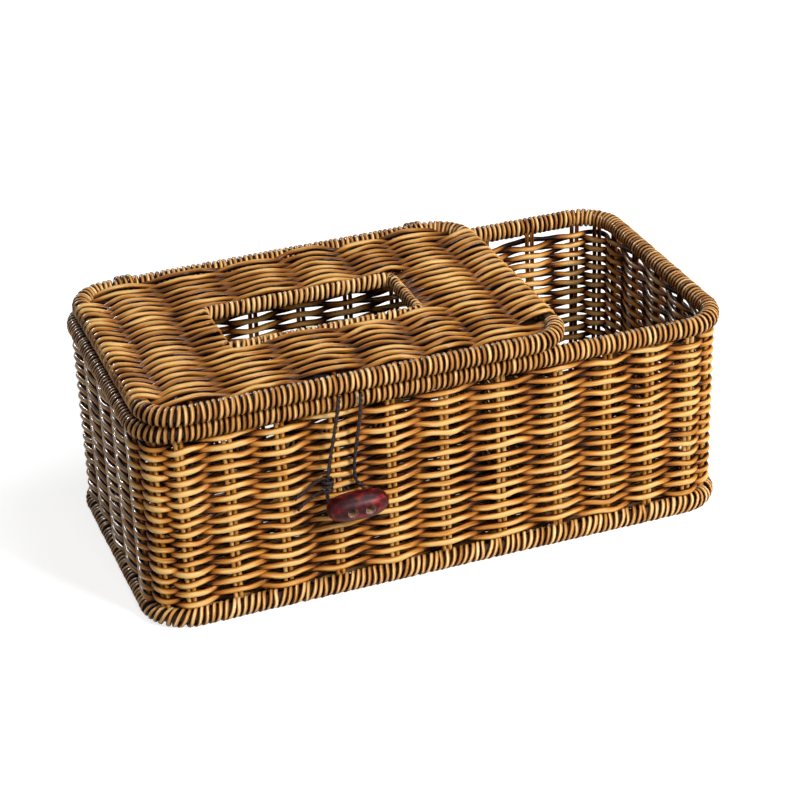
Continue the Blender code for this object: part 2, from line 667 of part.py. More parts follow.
def add_hinge_ties(part):
    """Two ties, each wound three times round the basket's back rim and the lid's back rim together."""
    low = Vector((0.0, HINGE_Y, HINGE_Z))
    high = Vector((0.0, LID_CENTRE_Y + LID_DEPTH / 2 - LID_RIM_RADIUS, LID_Z))
    lean = math.atan2(high.z - low.z, high.y - low.y)
    low_radius = TIE_REACH
    high_radius = LID_RIM_RADIUS + TOUCH_GAP + TIE_RADIUS
    turn_pitch = 2 * TIE_RADIUS + TIE_TURN_GAP
    per_turn = 2 * (TIE_ARC_STEPS + 1)
    for name, x in zip(("hinge_tie_left", "hinge_tie_right"), tie_places()):
        route = []
        for k in range(TIE_TURNS * per_turn + 1):
            side, step = divmod(k % per_turn, TIE_ARC_STEPS + 1)
            middle, radius = ((high, high_radius), (low, low_radius))[side]
            angle = lean - math.pi / 2 + math.pi * side + math.pi * step / TIE_ARC_STEPS
            along = x + turn_pitch * (k / per_turn - TIE_TURNS / 2)
            spoke = Vector((0.0, math.cos(angle), math.sin(angle))) * radius
            route.append(Vector((along, 0.0, 0.0)) + middle + spoke)
        print_least_gap(name, route, TIE_RADIUS, per_turn)
        tie = tube_mesh(name, route, TIE_RADIUS, THIN_SIDES_RESOLUTION, False, part["dark_cord"])
        smooth(tie)
        place(tie, part, lid_pivot())


def loop_pivot():
    """The line under the lid's front rim that the loop hangs from."""
    top = [Vector(point) for point in (LOOP_ROUTE[0], LOOP_ROUTE[-1])]
    return (top[0] + top[1]) / 2


def add_loop(part):
    """The closing loop, and the knot with two tails that is wound on its left strand."""
    route = smooth_route(LOOP_ROUTE, CORD_ROUTE_STEPS)
    loop = tube_mesh("closure_loop", route, LOOP_RADIUS, THIN_SIDES_RESOLUTION, False, part["dark_cord"])
    smooth(loop)
    place(loop, part, loop_pivot())
    centre = Vector(LOOP_ROUTE[KNOT_LOOP_POINT])
    strand = Vector(LOOP_ROUTE[KNOT_LOOP_POINT - 1]) - centre
    strand.normalize()
    across = Vector((-1.0, 0.0, 0.0))
    across -= strand * across.dot(strand)
    across.normalize()
    third = strand.cross(across)
    radius = LOOP_RADIUS + TOUCH_GAP + KNOT_CORD_RADIUS
    pitch = 2 * KNOT_CORD_RADIUS + KNOT_TURN_GAP
    steps = KNOT_TURNS * KNOT_TURN_STEPS
    coil = []
    for k in range(steps + 1):
        angle = 2 * math.pi * k / KNOT_TURN_STEPS
        rise = pitch * (k / KNOT_TURN_STEPS - KNOT_TURNS / 2)
        coil.append(centre + strand * rise + (across * math.cos(angle) + third * math.sin(angle)) * radius)
    print_least_gap("loop_knot", coil, KNOT_CORD_RADIUS, KNOT_TURN_STEPS)
    upper = smooth_route([coil[-1], *UPPER_TAIL], TAIL_ROUTE_STEPS)
    lower = smooth_route([coil[0], *LOWER_TAIL], TAIL_ROUTE_STEPS)
    route = [*reversed(lower), *coil[1:-1], *upper]
    knot = tube_mesh("loop_knot", route, KNOT_CORD_RADIUS, THIN_SIDES_RESOLUTION, False, part["dark_cord"])
    smooth(knot)
    place(knot, part, loop_pivot())


def toggle_profile():
    """The barrel's radius along its length, as a half outline from one tip to the other."""
    points = []
    for k in range(TOGGLE_PROFILE_POINTS):
        angle = math.pi * k / (TOGGLE_PROFILE_POINTS - 1)
        share = math.cos(angle)
        radius = max(1 - abs(share) ** TOGGLE_END_POWER, 0.0) ** (1 / TOGGLE_END_POWER)
        points.append((TOGGLE_RADIUS * radius, 0.0, TOGGLE_LENGTH / 2 * share))
    return points


def add_toggle(part):
    """The wooden toggle with its two countersunk holes, and the cord that ties it to the wall."""
    pivot = (TOGGLE_X, TOGGLE_Y, TOGGLE_Z)
    bm = bmesh.new()
    verts = [bm.verts.new(point) for point in toggle_profile()]
    for a, b in zip(verts, verts[1:]):
        bm.edges.new((a, b))
    mesh = bpy.data.meshes.new("toggle")
    bm.to_mesh(mesh)
    bm.free()
    mesh.materials.append(part["maroon"])
    toggle = bpy.data.objects.new("toggle", mesh)
    toggle.location = pivot
    toggle.rotation_euler = (0.0, math.pi / 2, 0.0)
    toggle.parent = part["frame"]
    part["parts"].objects.link(toggle)
    screw = toggle.modifiers.new("turned", "SCREW")
    screw.steps = TOGGLE_STEPS
    screw.render_steps = TOGGLE_STEPS
    screw.use_merge_vertices = True
    screw.merge_threshold = WELD_DISTANCE
    screw.use_smooth_shade = True
    cutter = bmesh.new()
    for side in (-1, 1):
        x = TOGGLE_X + side * TOGGLE_HOLE_OFFSET
        length = 2 * TOGGLE_RADIUS + 2 * CUT_OVERRUN
        round_cutter(cutter, (x, TOGGLE_Y, TOGGLE_Z), TOGGLE_HOLE_RADIUS, length)
    cut(toggle, cutter, part)
    sinks = bmesh.new()
    surface = max(radius for radius, _, _ in toggle_profile())
    for side in (-1, 1):
        x = TOGGLE_X + side * TOGGLE_HOLE_OFFSET
        slope = (TOGGLE_SINK_RADIUS - TOGGLE_HOLE_RADIUS) / TOGGLE_SINK_DEPTH
        wide = TOGGLE_SINK_RADIUS + slope * CUT_OVERRUN
        deep = TOGGLE_SINK_DEPTH + CUT_OVERRUN
        y = TOGGLE_Y - surface - CUT_OVERRUN + deep / 2
        round_cutter(sinks, (x, y, TOGGLE_Z), TOGGLE_HOLE_RADIUS, deep, wide)
    sink_cutter = finish_mesh(sinks, "toggle_sink_cutter", None)
    cut_with(toggle, sink_cutter, part)
    add_toggle_cord(part, pivot)


def add_toggle_cord(part, pivot):
    """A cord out of both holes, through one hole in the wall, and round in a bight that can't pull back."""
    hole, near = TOGGLE_HOLE_OFFSET, TOGGLE_CORD_HALF_SPACING
    hole_share, near_share = CORD_TURN_SHARES
    gap_y = -(WALL_FACE_Y + TOGGLE_BACK) / 2
    inside_y = -WALL_HALF_DEPTH + WALL_HALF_THICKNESS + TOGGLE_CORD_RADIUS + TOUCH_GAP
    half = [
        (hole, TOGGLE_Y, 0.0),
        (hole, -TOGGLE_BACK, 0.0),
        (hole * hole_share, gap_y, 0.0),
        (near * near_share, gap_y, 0.0),
        (near, gap_y + TOGGLE_CORD_RADIUS, 0.0),
        (near, inside_y - TOGGLE_CORD_RADIUS, 0.0),
    ]
    for across, deep, up in CORD_BIGHT_SHARES:
        y = inside_y + TOGGLE_CORD_RADIUS * deep
        half.append((TOGGLE_BIGHT_RADIUS * across, y, TOGGLE_BIGHT_RADIUS * up))
    points = [(TOGGLE_X - x, y, TOGGLE_Z + z) for x, y, z in half]
    points += [(TOGGLE_X + x, y, TOGGLE_Z + z) for x, y, z in reversed(half[:-1])]
    route = smooth_route(points, CORD_ROUTE_STEPS)
    sides = THIN_SIDES_RESOLUTION
    cord = tube_mesh("toggle_cord", route, TOGGLE_CORD_RADIUS, sides, False, part["dark_cord"])
    smooth(cord)
    place(cord, part, pivot)


def add_walls(part, stakes):
    """Four woven walls and four woven corners between them."""
    front = len(FRONT_STAKE_SHARES)
    right = front + 1
    back = right + SIDE_STAKES + 1
    left = back + BACK_STAKES + 1
    wall_weave(part, "front_wall_weave", 0, front - 1, stakes)
    wall_weave(part, "corner_weave_front_right", front, front, stakes)
    wall_weave(part, "right_wall_weave", right, right + SIDE_STAKES - 1, stakes)
    wall_weave(part, "corner_weave_back_right", back - 1, back - 1, stakes)
    wall_weave(part, "back_wall_weave", back, back + BACK_STAKES - 1, stakes)
    wall_weave(part, "corner_weave_back_left", left - 1, left - 1, stakes)
    wall_weave(part, "left_wall_weave", left, left + SIDE_STAKES - 1, stakes)
    wall_weave(part, "corner_weave_front_left", left + SIDE_STAKES, left + SIDE_STAKES, stakes)


def main():
    for obj in list(bpy.data.objects):
        bpy.data.objects.remove(obj)
    part = {
        "parts": new_collection("lidded_wicker_tissue_basket"),
        "cutters": new_collection("cutters"),
        "honey": make_material("honey_wicker", (0.55, 0.33, 0.13), 0.45),
        "brown": make_material("brown_wicker", (0.40, 0.23, 0.10), 0.5),
        "dark_rod": make_material("dark_rod", (0.20, 0.11, 0.05), 0.55),
        "dark_cord": make_material("dark_cord", (0.06, 0.03, 0.03), 0.6),
        "maroon": make_material("maroon_wood", (0.16, 0.02, 0.02), 0.3),
    }
    frame = bpy.data.objects.new("basket_frame", None)
    frame.location = (0.0, SHIFT_Y, 0.0)
    part["parts"].objects.link(frame)
    part["frame"] = frame
    stakes = stake_places()
    add_base(part)
    add_walls(part, stakes)
    add_stakes(part, stakes)
    top_names = ("top_rim_core", "top_rim_binding")
    top_shape = (HALF_LENGTH, HALF_DEPTH, RIM_CORNER_RADIUS, TOP_RIM_RADIUS)
    add_rim(part, top_names, *top_shape, TOP_RIM_Z, (0.0, 0.0))
    add_divider(part)
    add_lid(part)
    add_hinge_ties(part)
    add_loop(part)
    add_toggle(part)


main()
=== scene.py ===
"""The looks of a lidded wicker basket: woven walls and lid, bound rims, a toggle and its cords.

Every strand is a swept tube that goes over and under the rods it is woven on. Units are metres, in the frame
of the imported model: X along the length, Y towards the hinged back and Z up.
"""

import math

import bpy
import numpy as np
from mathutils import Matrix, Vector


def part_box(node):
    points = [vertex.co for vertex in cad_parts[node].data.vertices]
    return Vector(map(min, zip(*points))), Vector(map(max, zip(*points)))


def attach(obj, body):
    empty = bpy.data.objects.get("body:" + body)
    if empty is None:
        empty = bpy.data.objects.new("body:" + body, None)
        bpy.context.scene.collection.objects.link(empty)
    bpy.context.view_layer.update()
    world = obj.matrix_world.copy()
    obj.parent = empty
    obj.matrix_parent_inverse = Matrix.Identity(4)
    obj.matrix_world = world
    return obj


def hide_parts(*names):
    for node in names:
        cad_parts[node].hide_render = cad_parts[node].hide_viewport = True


# Camera, fitted to the outline of the basket in the photograph
CAMERA_PLACE = (-0.2830, -0.7878, 0.5050)
CAMERA_TURN_DEGREES = (61.415, 1.745, -20.763)
CAMERA_LENS_MM = 103.57
SENSOR_MM = 36

# Round corners in plan, which the frame's boxes don't give, and steps in the search along such a line
RIM_CORNER = 0.020
WALL_CORNER = 0.01345
LID_CORNER = 0.018
SLOT_CORNER = 0.005
PANEL_CORNER = 0.0117
RING_STEPS = 8000

# Weavers: their half width, how much wider they are on a crest, and the rows they lie in
WEAVER_RADIUS = 0.00112
WALL_CREST_WIDENING = 0.18
MAT_CREST_WIDENING = 0.38
ROW_PITCH = 0.0023
WEAVE_CLEARANCE = 0.0001
TOP_ROW_GAP = 0.0004
STRAND_SIDES = 8
SPAN_STEPS = 12

# Natural spread of a weaver's thickness: from one to the next, and along it
THICKNESS_SPREAD = 0.05
THICKNESS_WAVE = 0.06
WALL_THICKNESS_TURNS = (20, 70)
MAT_THICKNESS_TURNS = (6, 20)

# Windings of the rims: half width and half thickness of the strand, its pitch, and how it varies
WRAP_RADIUS = 0.00102
WRAP_DEPTH = 0.0008
WRAP_PITCH = 0.00225
BASE_WRAP_PITCH = 0.0026
WRAP_STEPS = 14
WRAP_SIDES = 7
WRAP_START_DEGREES = -140
WRAP_TONES = (0.3, 0.8)
WRAP_SWELL = 0.04
WRAP_SWELL_TURNS = (30, 120)
WRAP_SPREAD = 0.10
WRAP_JITTER = 0.0002
WRAP_TILT = 0.0003
BASE_WRAP_STARTS = 3
BASE_WRAP_LOOSENESS = 2.4
SLOT_RIM_WIDTH = 0.0045

# How narrow the painted highlight on a strand's crest is, where 1 is wide
WRAP_SHARP = 3.4
WALL_SHARP = 1.9
MAT_SHARP = 2.0

# Painted shade below a winding: its depth, and how low on the winding it starts
UNDERSIDE_PAINTED_SHADE = 1.0
UNDERSIDE_START = 0.3

# How soon the painted shade darkens a strand that dips, where 1 is evenly, and how far it counts as raised at
# mid height
BULGE_EASE = 0.6
WALL_FACE = 0.15
MAT_FACE = 0.3

# Rods: their sizes and numbers, how far they bend, and how far they count as raised for their painted light
# and shade
ROD_RADIUS = 0.00095
ROD_SPACING = 0.0023
ROD_SIDES = 10
ROD_STEPS = 16
ROD_BEND_ALONG = 0.25
ROD_BEND_OUT = 0.15
ROD_BEND_TURNS = (1, 3)
BASE_RODS = 19
DIVIDER_RODS = 5
STRAIGHT_ROD_STEPS = 12
LID_ROD_STEPS = 24
WALL_ROD_BULGE = 0.31
LID_ROD_BULGE = 0.13
INNER_ROD_BULGE = 0.3
ROD_TONE = 0.4
WALL_ROD_TONES = (0.25, 0.75)

# Finer strands of the floor, the divider and the hinge ties: their sizes and tones
BASE_STRAND = 0.00075
BASE_STRAND_FLATNESS = 1.9
DIVIDER_STRAND = 0.0009
DIVIDER_TONE = 0.5
DIVIDER_TONE_TURNS = (1, 4)
TIE_RADIUS = 0.0009
TIE_DEPTH = 0.00045
TIE_TURNS = 3
TIE_TURN_STEPS = 40
TIE_TONE = 0.4
TIE_TONE_TURNS = (1, 5)
TONE_WAVE = 0.3

# The places of the lid's rods, as shares of the lid's length
LID_ROD_SHARES = (0.123, 0.271, 0.443, 0.588, 0.718, 0.840)

# How quickly a strand turns between the outside and the inside, where 1 is a plain wave
WAVE_POWER = 1.1

# How far the hand-made weave strays from straight, and the fewest and most waves in its length
ROW_SWAY = 0.0007
ROW_SWAY_TURNS = (6, 20)
SECOND_SWAY_TURNS = (8, 26)
TOP_SWAY = 0.0007
TOP_SWAY_TURNS = (4, 14)
TOP_SWAY_POWER = 8
ROW_JITTER = 0.0004
WALL_JITTER_TURNS = (18, 60)
DIVIDER_JITTER_TURNS = (1, 5)
MAT_JITTER = 0.00056
MAT_JITTER_TURNS = (4, 14)
LID_SWAY = 0.0007
LID_SWAY_TURNS = (2, 5)
LID_ROD_SWAY = 0.0008
LID_ROD_TURNS = (0.8, 2.4)

# Strand ends turned round a rim: their angles, how far they lean, over what length, and how tight they are
HOOK_OVER_DEGREES = (-150, 90)
HOOK_UNDER_DEGREES = (40, -90)
HOOK_STEPS = 11
HOOK_LEAN = 0.0007
HOOK_REACH = 0.012
HOOK_TIGHTNESS = (0.95, 1.04)

# How far the rows beside the slot lie on its rim, how far the first row keeps from the mat's front edge,
# and how far the last rows pass its back edge and rise towards it
SLOT_OVERLAP = 0.0005
FRONT_GAP = 0.0008
BACK_OVERLAP = 0.0018
BACK_LIFT = 0.0008
BACK_LIFT_ROWS = 3

# Cords: the points of their solids, and how far behind these points both cords and solids lie
SHIFT_Y = 0.0041
LOOP_ROUTE = (
    (-0.0452, -0.0640, 0.0904),
    (-0.0459, -0.0640, 0.0860),
    (-0.0468, -0.0639, 0.0800),
    (-0.0479, -0.0630, 0.0725),
    (-0.0491, -0.0624, 0.0650),
    (-0.0503, -0.0622, 0.0580),
    (-0.0510, -0.0622, 0.0525),
    (-0.0511, -0.0613, 0.0475),
    (-0.0499, -0.06025, 0.0430),
    (-0.0472, -0.06025, 0.0383),
    (-0.0436, -0.06025, 0.0357),
    (-0.0396, -0.06025, 0.0357),
    (-0.0359, -0.06025, 0.0384),
    (-0.0347, -0.06025, 0.0425),
    (-0.0361, -0.06025, 0.0468),
    (-0.0386, -0.06025, 0.0505),
    (-0.0391, -0.06035, 0.0570),
    (-0.0384, -0.0610, 0.0650),
    (-0.0377, -0.0624, 0.0725),
    (-0.0371, -0.0637, 0.0800),
    (-0.0366, -0.0640, 0.0860),
    (-0.0364, -0.0640, 0.0904),
)
LOOP_SPAN_STEPS = 6
LOOP_RADIUS = 0.0009
LOOP_LAY = 0.0045
PLY_SHARE = 0.6
# A direction that the cords never follow exactly
TOWARDS_FRONT = (0.0, -1.0, 0.001)

# The knot's turns round one point of the loop, and its two tails
KNOT_LOOP_POINT = 6
KNOT_CORD_RADIUS = 0.0007
KNOT_CLEARANCE = 0.0003
KNOT_TURNS = 3
KNOT_TURN_GAP = 0.00045
KNOT_TURN_STEPS = 24
KNOT_LAY = 0.0034
TAIL_SPAN_STEPS = 8
UPPER_TAIL = ((-0.0560, -0.0612, 0.0535), (-0.0600, -0.0604, 0.0500), (-0.0640, -0.0603, 0.0475))
LOWER_TAIL = ((-0.0560, -0.0608, 0.0478), (-0.0595, -0.0604, 0.0455), (-0.0630, -0.0603, 0.0425))

# Toggle
TOGGLE_END_POWER = 2.6
TOGGLE_RINGS = 36
TOGGLE_SIDES = 56
TOGGLE_HOLE_OFFSET = 0.0037
TOGGLE_HOLE_RADIUS = 0.0015
TOGGLE_SINK_RADIUS = 0.0023
TOGGLE_SINK_DEPTH = 0.0012
TOGGLE_EDGE_DEGREES = 35
HOLE_SIDES = 32

# Wicker: how much its tone, its streaks and its patches shift its colour, and its finish
TONE_WEIGHT = 0.34
STREAK_WEIGHT = 0.6
PATCH_WEIGHT = 0.7
STREAK_SCALE = (110.0, 1500.0, 1500.0)
PATCH_SCALE = (45.0, 60.0, 60.0)
WICKER_ROUGHNESS = 0.26
STREAK_ROUGHNESS = 0.25
WICKER_SPECULAR = 0.03
WICKER_COAT = 0.14
WICKER_COAT_ROUGHNESS = 0.1

# Wicker's linear colours, from painted shade in a crevice to a painted highlight on a crest: walls, lid,
# bindings, and the inside painted darker as shade
HONEY = (
    (0.16, (0.006, 0.002, 0.001)),
    (0.38, (0.065, 0.017, 0.003)),
    (0.56, (0.35, 0.115, 0.016)),
    (0.77, (0.63, 0.27, 0.048)),
    (0.97, (0.84, 0.52, 0.18)),
)
BROWN = (
    (0.16, (0.006, 0.002, 0.001)),
    (0.38, (0.055, 0.016, 0.003)),
    (0.58, (0.24, 0.082, 0.012)),
    (0.79, (0.50, 0.215, 0.040)),
    (0.97, (0.76, 0.47, 0.16)),
)
BOUND = (
    (0.14, (0.006, 0.002, 0.001)),
    (0.36, (0.065, 0.018, 0.004)),
    (0.56, (0.29, 0.105, 0.020)),
    (0.75, (0.60, 0.29, 0.075)),
    (0.95, (0.93, 0.69, 0.34)),
)
INNER = (
    (0.16, (0.004, 0.002, 0.001)),
    (0.40, (0.035, 0.011, 0.003)),
    (0.62, (0.12, 0.040, 0.009)),
    (0.82, (0.25, 0.095, 0.022)),
    (0.97, (0.48, 0.26, 0.09)),
)

# Studio: the floor's size, grey and glow, the world's light, and each lamp's place, size and power in watts
WHITE = (1.0, 1.0, 1.0, 1.0)
FLOOR_SIZE = 8.0
FLOOR_GREY = 0.62
FLOOR_GLOW = 0.76
WORLD_LIGHT = 0.03
LIGHTS = {
    "key_light": ((0.6, -1.0, 0.9), 0.35, 19.5),
    "top_light": ((0.45, -0.2, 1.25), 0.5, 5.0),
    "fill_light": ((-0.1, -1.0, 0.7), 0.3, 2.4),
    "glint_light": ((-0.55, 1.2, 0.6), 0.3, 36.0),
}
LIGHTS_AIM = (0.0, 0.0, 0.05)

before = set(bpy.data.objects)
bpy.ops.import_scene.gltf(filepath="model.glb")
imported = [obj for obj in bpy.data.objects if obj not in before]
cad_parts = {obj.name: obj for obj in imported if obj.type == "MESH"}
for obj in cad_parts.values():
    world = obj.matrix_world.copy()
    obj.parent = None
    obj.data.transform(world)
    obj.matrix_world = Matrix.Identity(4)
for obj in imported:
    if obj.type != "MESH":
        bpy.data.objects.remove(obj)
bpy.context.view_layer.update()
random = np.random.RandomState(7)
UP = np.array([0.0, 0.0, 1.0])


class Ring:
    """A rounded rectangle in plan, measured along its line from the middle of its front to the right."""

    def __init__(self, centre, half_x, half_y, corner):
        self.centre = np.array(centre, float)
        self.halves = (half_x, half_y)
        self.corner = corner
        self.flat = (2 * (half_x - corner), 2 * (half_y - corner))
        self.arc = math.pi / 2 * corner
        self.length = 2 * sum(self.flat) + 4 * self.arc

    def at(self, s):
        """Places and outward normals, as (N, 3) arrays in the plane, at lengths s."""
        s = np.mod(np.asarray(s, float) + self.flat[0] / 2, self.length)
        place = np.zeros((len(s), 3))
        normal = np.zeros((len(s), 3))
        start = 0.0
        for side in range(4):
            turn = side * math.pi / 2
            along = np.array([math.cos(turn), math.sin(turn)])
            facing = np.array([math.sin(turn), -math.cos(turn)])
            flat = self.flat[side % 2]
            middle = self.centre + facing * self.halves[(side + 1) % 2]
            run = (s >= start) & (s <= start + flat)
            place[run, :2] = middle + along * (s[run, None] - start - flat / 2)
            normal[run, :2] = facing
            start += flat
            bend = (s > start) & (s < start + self.arc)
            angle = turn - math.pi / 2 + (s[bend] - start) / self.corner
            hub = middle + along * flat / 2 - facing * self.corner
            normal[bend, 0] = np.cos(angle)
            normal[bend, 1] = np.sin(angle)
            place[bend, :2] = hub + normal[bend, :2] * self.corner
            start += self.arc
        return place, normal

    def nearest(self, x, y):
        """The length along the line at which it passes nearest to a point."""
        s = np.linspace(-self.length / 2, self.length / 2, RING_STEPS, endpoint=False)
        place, _ = self.at(s)
        return s[np.argmin(np.hypot(place[:, 0] - x, place[:, 1] - y))]

    def reach(self, axis, offset):
        """How far the line lies from its middle along an axis, at an offset along the other one."""
        half, other = self.halves[axis], self.halves[1 - axis]
        past = abs(offset) - (other - self.corner)
        if past <= 0:
            return half
        return half - self.corner + math.sqrt(max(self.corner**2 - past**2, 0.0))


def waves(share, turns, count=6):
    """A smooth random wave of about -1 to 1 that closes on itself from share 0 to share 1.

    It is a sum of count sines, and turns is the fewest and the most waves that one of them makes.
    """
    fewest, most = turns
    total = np.zeros_like(share)
    for _ in range(count):
        turn = random.randint(fewest, most + 1)
        total += np.sin(2 * np.pi * (turn * share + random.rand()))
    return total / math.sqrt(2 * count)


def ease(t):
    """A smooth step from 0 to 1."""
    return 0.5 - 0.5 * np.cos(np.pi * t)


def bent(wave, power):
    """A wave between -1 and 1 raised to a power, with its sign kept."""
    return np.sign(wave) * np.abs(wave) ** power


def along_route(route):
    """The length along a route at each of its points."""
    step = np.linalg.norm(np.diff(route, axis=0), axis=1)
    return np.concatenate([[0.0], np.cumsum(step)])


def add_object(name, data):
    """A new object of the scene."""
    obj = bpy.data.objects.new(name, data)
    bpy.context.scene.collection.objects.link(obj)
    return obj


class Strands:
    """Gathers swept tubes, with what their materials need at each point, and makes one object of them."""

    def __init__(self):
        self.points, self.faces, self.exposure, self.tone, self.grain = [], [], [], [], []
        self.count = 0
        self.number = 0

    def add(self, path, crest, bulge, tone, across, depth, closed=False, sides=STRAND_SIDES, sharp=1.0):
        """Sweeps a tube of radii across and depth along the path.

        crest is the way that depth is measured. bulge, from -1 to 1, says how far the strand stands out on
        the side that the crest faces; from it come the painted shade on its sheltered side and the painted
        highlight on its crest. sharp narrows the painted highlight.
        """
        n = len(path)
        if closed:
            tangent = np.roll(path, -1, 0) - np.roll(path, 1, 0)
        else:
            tangent = np.gradient(path, axis=0)
        side = np.cross(tangent, crest)
        side /= np.linalg.norm(side, axis=1, keepdims=True)
        rise = np.cross(side, tangent)
        rise /= np.linalg.norm(rise, axis=1, keepdims=True)
        bulge = bent(bulge, BULGE_EASE)
        across, depth, bulge, tone = (np.broadcast_to(v, (n,)) for v in (across, depth, bulge, tone))
        angle = 2 * np.pi * np.arange(sides) / sides
        ring = side[:, None] * (across[:, None] * np.cos(angle))[..., None]
        ring = ring + rise[:, None] * (depth[:, None] * np.sin(angle))[..., None]
        self.points.append((path[:, None] + ring).reshape(-1, 3))
        # Painted light: a painted highlight where the tube faces out from a raised strand, painted shade on
        # its sheltered side
        self.exposure.append(((0.5 + 0.5 * bulge[:, None] * np.sin(angle)) ** sharp).ravel())
        self.tone.append(np.repeat(tone, sides))
        grain = np.zeros((n, sides, 3))
        grain[..., 0] = along_route(path)[:, None]
        grain[..., 1] = np.cos(angle) * WEAVER_RADIUS
        grain[..., 2] = np.sin(angle) * WEAVER_RADIUS + self.number
        self.grain.append(grain.reshape(-1, 3))
        rings = np.arange(n if closed else n - 1)
        low = self.count + rings[:, None] * sides
        high = self.count + ((rings + 1) % n)[:, None] * sides
        here = np.arange(sides)
        after = np.roll(here, -1)
        quads = np.stack([low + here, low + after, high + after, high + here], axis=-1)
        self.faces.extend(quads.reshape(-1, 4).tolist())
        if not closed:
            self.faces.append(list(range(self.count + sides - 1, self.count - 1, -1)))
            last = self.count + (n - 1) * sides
            self.faces.append(list(range(last, last + sides)))
        self.count += n * sides
        self.number += 1

    def build(self, name, material):
        """The object, with its painted light and shade, tone and grain as attributes of its points."""
        mesh = bpy.data.meshes.new(name)
        mesh.from_pydata(np.concatenate(self.points).tolist(), [], self.faces)
        for label, values in (("exposure", self.exposure), ("tone", self.tone)):
            mesh.attributes.new(label, "FLOAT", "POINT").data.foreach_set("value", np.concatenate(values))
        grain = np.concatenate(self.grain).ravel()
        mesh.attributes.new("grain", "FLOAT_VECTOR", "POINT").data.foreach_set("vector", grain)
        mesh.materials.append(material)
        mesh.shade_smooth()
        mesh.validate()
        return add_object(name, mesh)


def corners(node):
    """The lowest and highest corners of a CAD node, as arrays."""
    low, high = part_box(node)
    return np.array(low), np.array(high)


def rim_line(node, corner, radius):
    """The ring that a rim's middle follows, and its height."""
    low, high = corners(node)
    centre, half = (low + high) / 2, (high - low) / 2
    ring = Ring(centre[:2], half[0] - radius, half[1] - radius, corner - radius)
    return ring, high[2] - radius


# Sizes from the frame
lid_rim_low, lid_rim_high = corners("lid_rim_binding")
RIM_RADIUS = (lid_rim_high[2] - lid_rim_low[2]) / 2
RIM_RADII = (RIM_RADIUS, RIM_RADIUS)
top_ring, top_rim_z = rim_line("top_rim_binding", RIM_CORNER, RIM_RADIUS)
base_ring, base_rim_z = rim_line("base_rim_binding", RIM_CORNER, RIM_RADIUS)
lid_ring, lid_z = rim_line("lid_rim_binding", LID_CORNER, RIM_RADIUS)
front_low, front_high = corners("front_wall_weave")
wall_bottom, wall_top = front_low[2], front_high[2]
mat_low, mat_high = corners("lid_weave")
mat_z = mat_high[2] - 2 * WEAVER_RADIUS - ROD_RADIUS
slot_low, slot_high = corners("slot_rim_binding")
SLOT_RIM_RADII = (SLOT_RIM_WIDTH / 2, (slot_high[2] - slot_low[2]) / 2)


def node_middle(node):
    """The middle of a CAD node's box."""
    low, high = corners(node)
    return (low + high) / 2


def nodes_named(start):
    """The CAD nodes whose names start so, in order."""
    return sorted(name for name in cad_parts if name.startswith(start))


def make_wall_ring():
    """The walls' middle line, through the middles of the uprights."""
    front, back = node_middle("stake_front_06"), node_middle("stake_back_06")
    left, right = node_middle("stake_left_3"), node_middle("stake_right_3")
    centre = ((left[0] + right[0]) / 2, (front[1] + back[1]) / 2)
    return Ring(centre, (right[0] - left[0]) / 2, (back[1] - front[1]) / 2, WALL_CORNER)


wall_ring = make_wall_ring()
stake_nodes = nodes_named("stake_")
stakes = np.sort([wall_ring.nearest(*node_middle(name)[:2]) for name in stake_nodes])


def material_nodes(name):
    """A new material, its node tree and its shader."""
    material = bpy.data.materials.new(name)
    material.use_nodes = True
    tree = material.node_tree
    return material, tree, tree.nodes["Principled BSDF"]


def set_inputs(tree, node, inputs):
    """Gives a node its input values and its input links."""
    for key, value in dict(inputs).items():
        if isinstance(value, bpy.types.NodeSocket):
            tree.links.new(value, node.inputs[key])
        else:
            node.inputs[key].default_value = value


def add_node(tree, kind, inputs=(), **settings):
    """A node with its settings and its inputs."""
    node = tree.nodes.new(kind)
    for key, value in settings.items():
        setattr(node, key, value)
    set_inputs(tree, node, inputs)
    return node


def maths(tree, operation, *values, clamp=False):
    """The output of a Math node."""
    node = add_node(tree, "ShaderNodeMath", enumerate(values), operation=operation, use_clamp=clamp)
    return node.outputs[0]


def ramp(tree, factor, stops):
    """The colour that a factor gives between stops of (place, colour)."""
    node = add_node(tree, "ShaderNodeValToRGB", {"Fac": factor})
    elements = node.color_ramp.elements
    while len(elements) < len(stops):
        elements.new(0.5)
    for element, (place, colour) in zip(elements, stops):
        element.position = place
        element.color = (*colour, 1.0)
    return node.outputs["Color"]


def noise(tree, place, scale, detail=3.0):
    """Cloudy noise from 0 to 1, with one scale or one for each axis."""
    if isinstance(scale, tuple):
        place = add_node(tree, "ShaderNodeMapping", {"Vector": place, "Scale": scale}).outputs[0]
        scale = 1.0
    inputs = {"Vector": place, "Scale": scale, "Detail": detail}
    return add_node(tree, "ShaderNodeTexNoise", inputs).outputs["Fac"]


def bump(tree, height, strength, distance):
    """The normal of a fine relief."""
    inputs = {"Height": height, "Strength": strength, "Distance": distance}
    return add_node(tree, "ShaderNodeBump", inputs).outputs[0]


def own_place(tree):
    """The place in the object's own coordinates."""
    return add_node(tree, "ShaderNodeTexCoord").outputs["Object"]


def core_material():
    """The inside of a rim, painted near black as painted shade, seen only between the turns of its binding.
    """
    material, tree, shader = material_nodes("rim_core")
    stops = ((0.3, (0.010, 0.004, 0.001)), (0.7, (0.075, 0.028, 0.008)))
    set_inputs(tree, shader, {
        "Base Color": ramp(tree, noise(tree, own_place(tree), scale=600.0), stops),
        "Roughness": 0.6,
    })
    return material


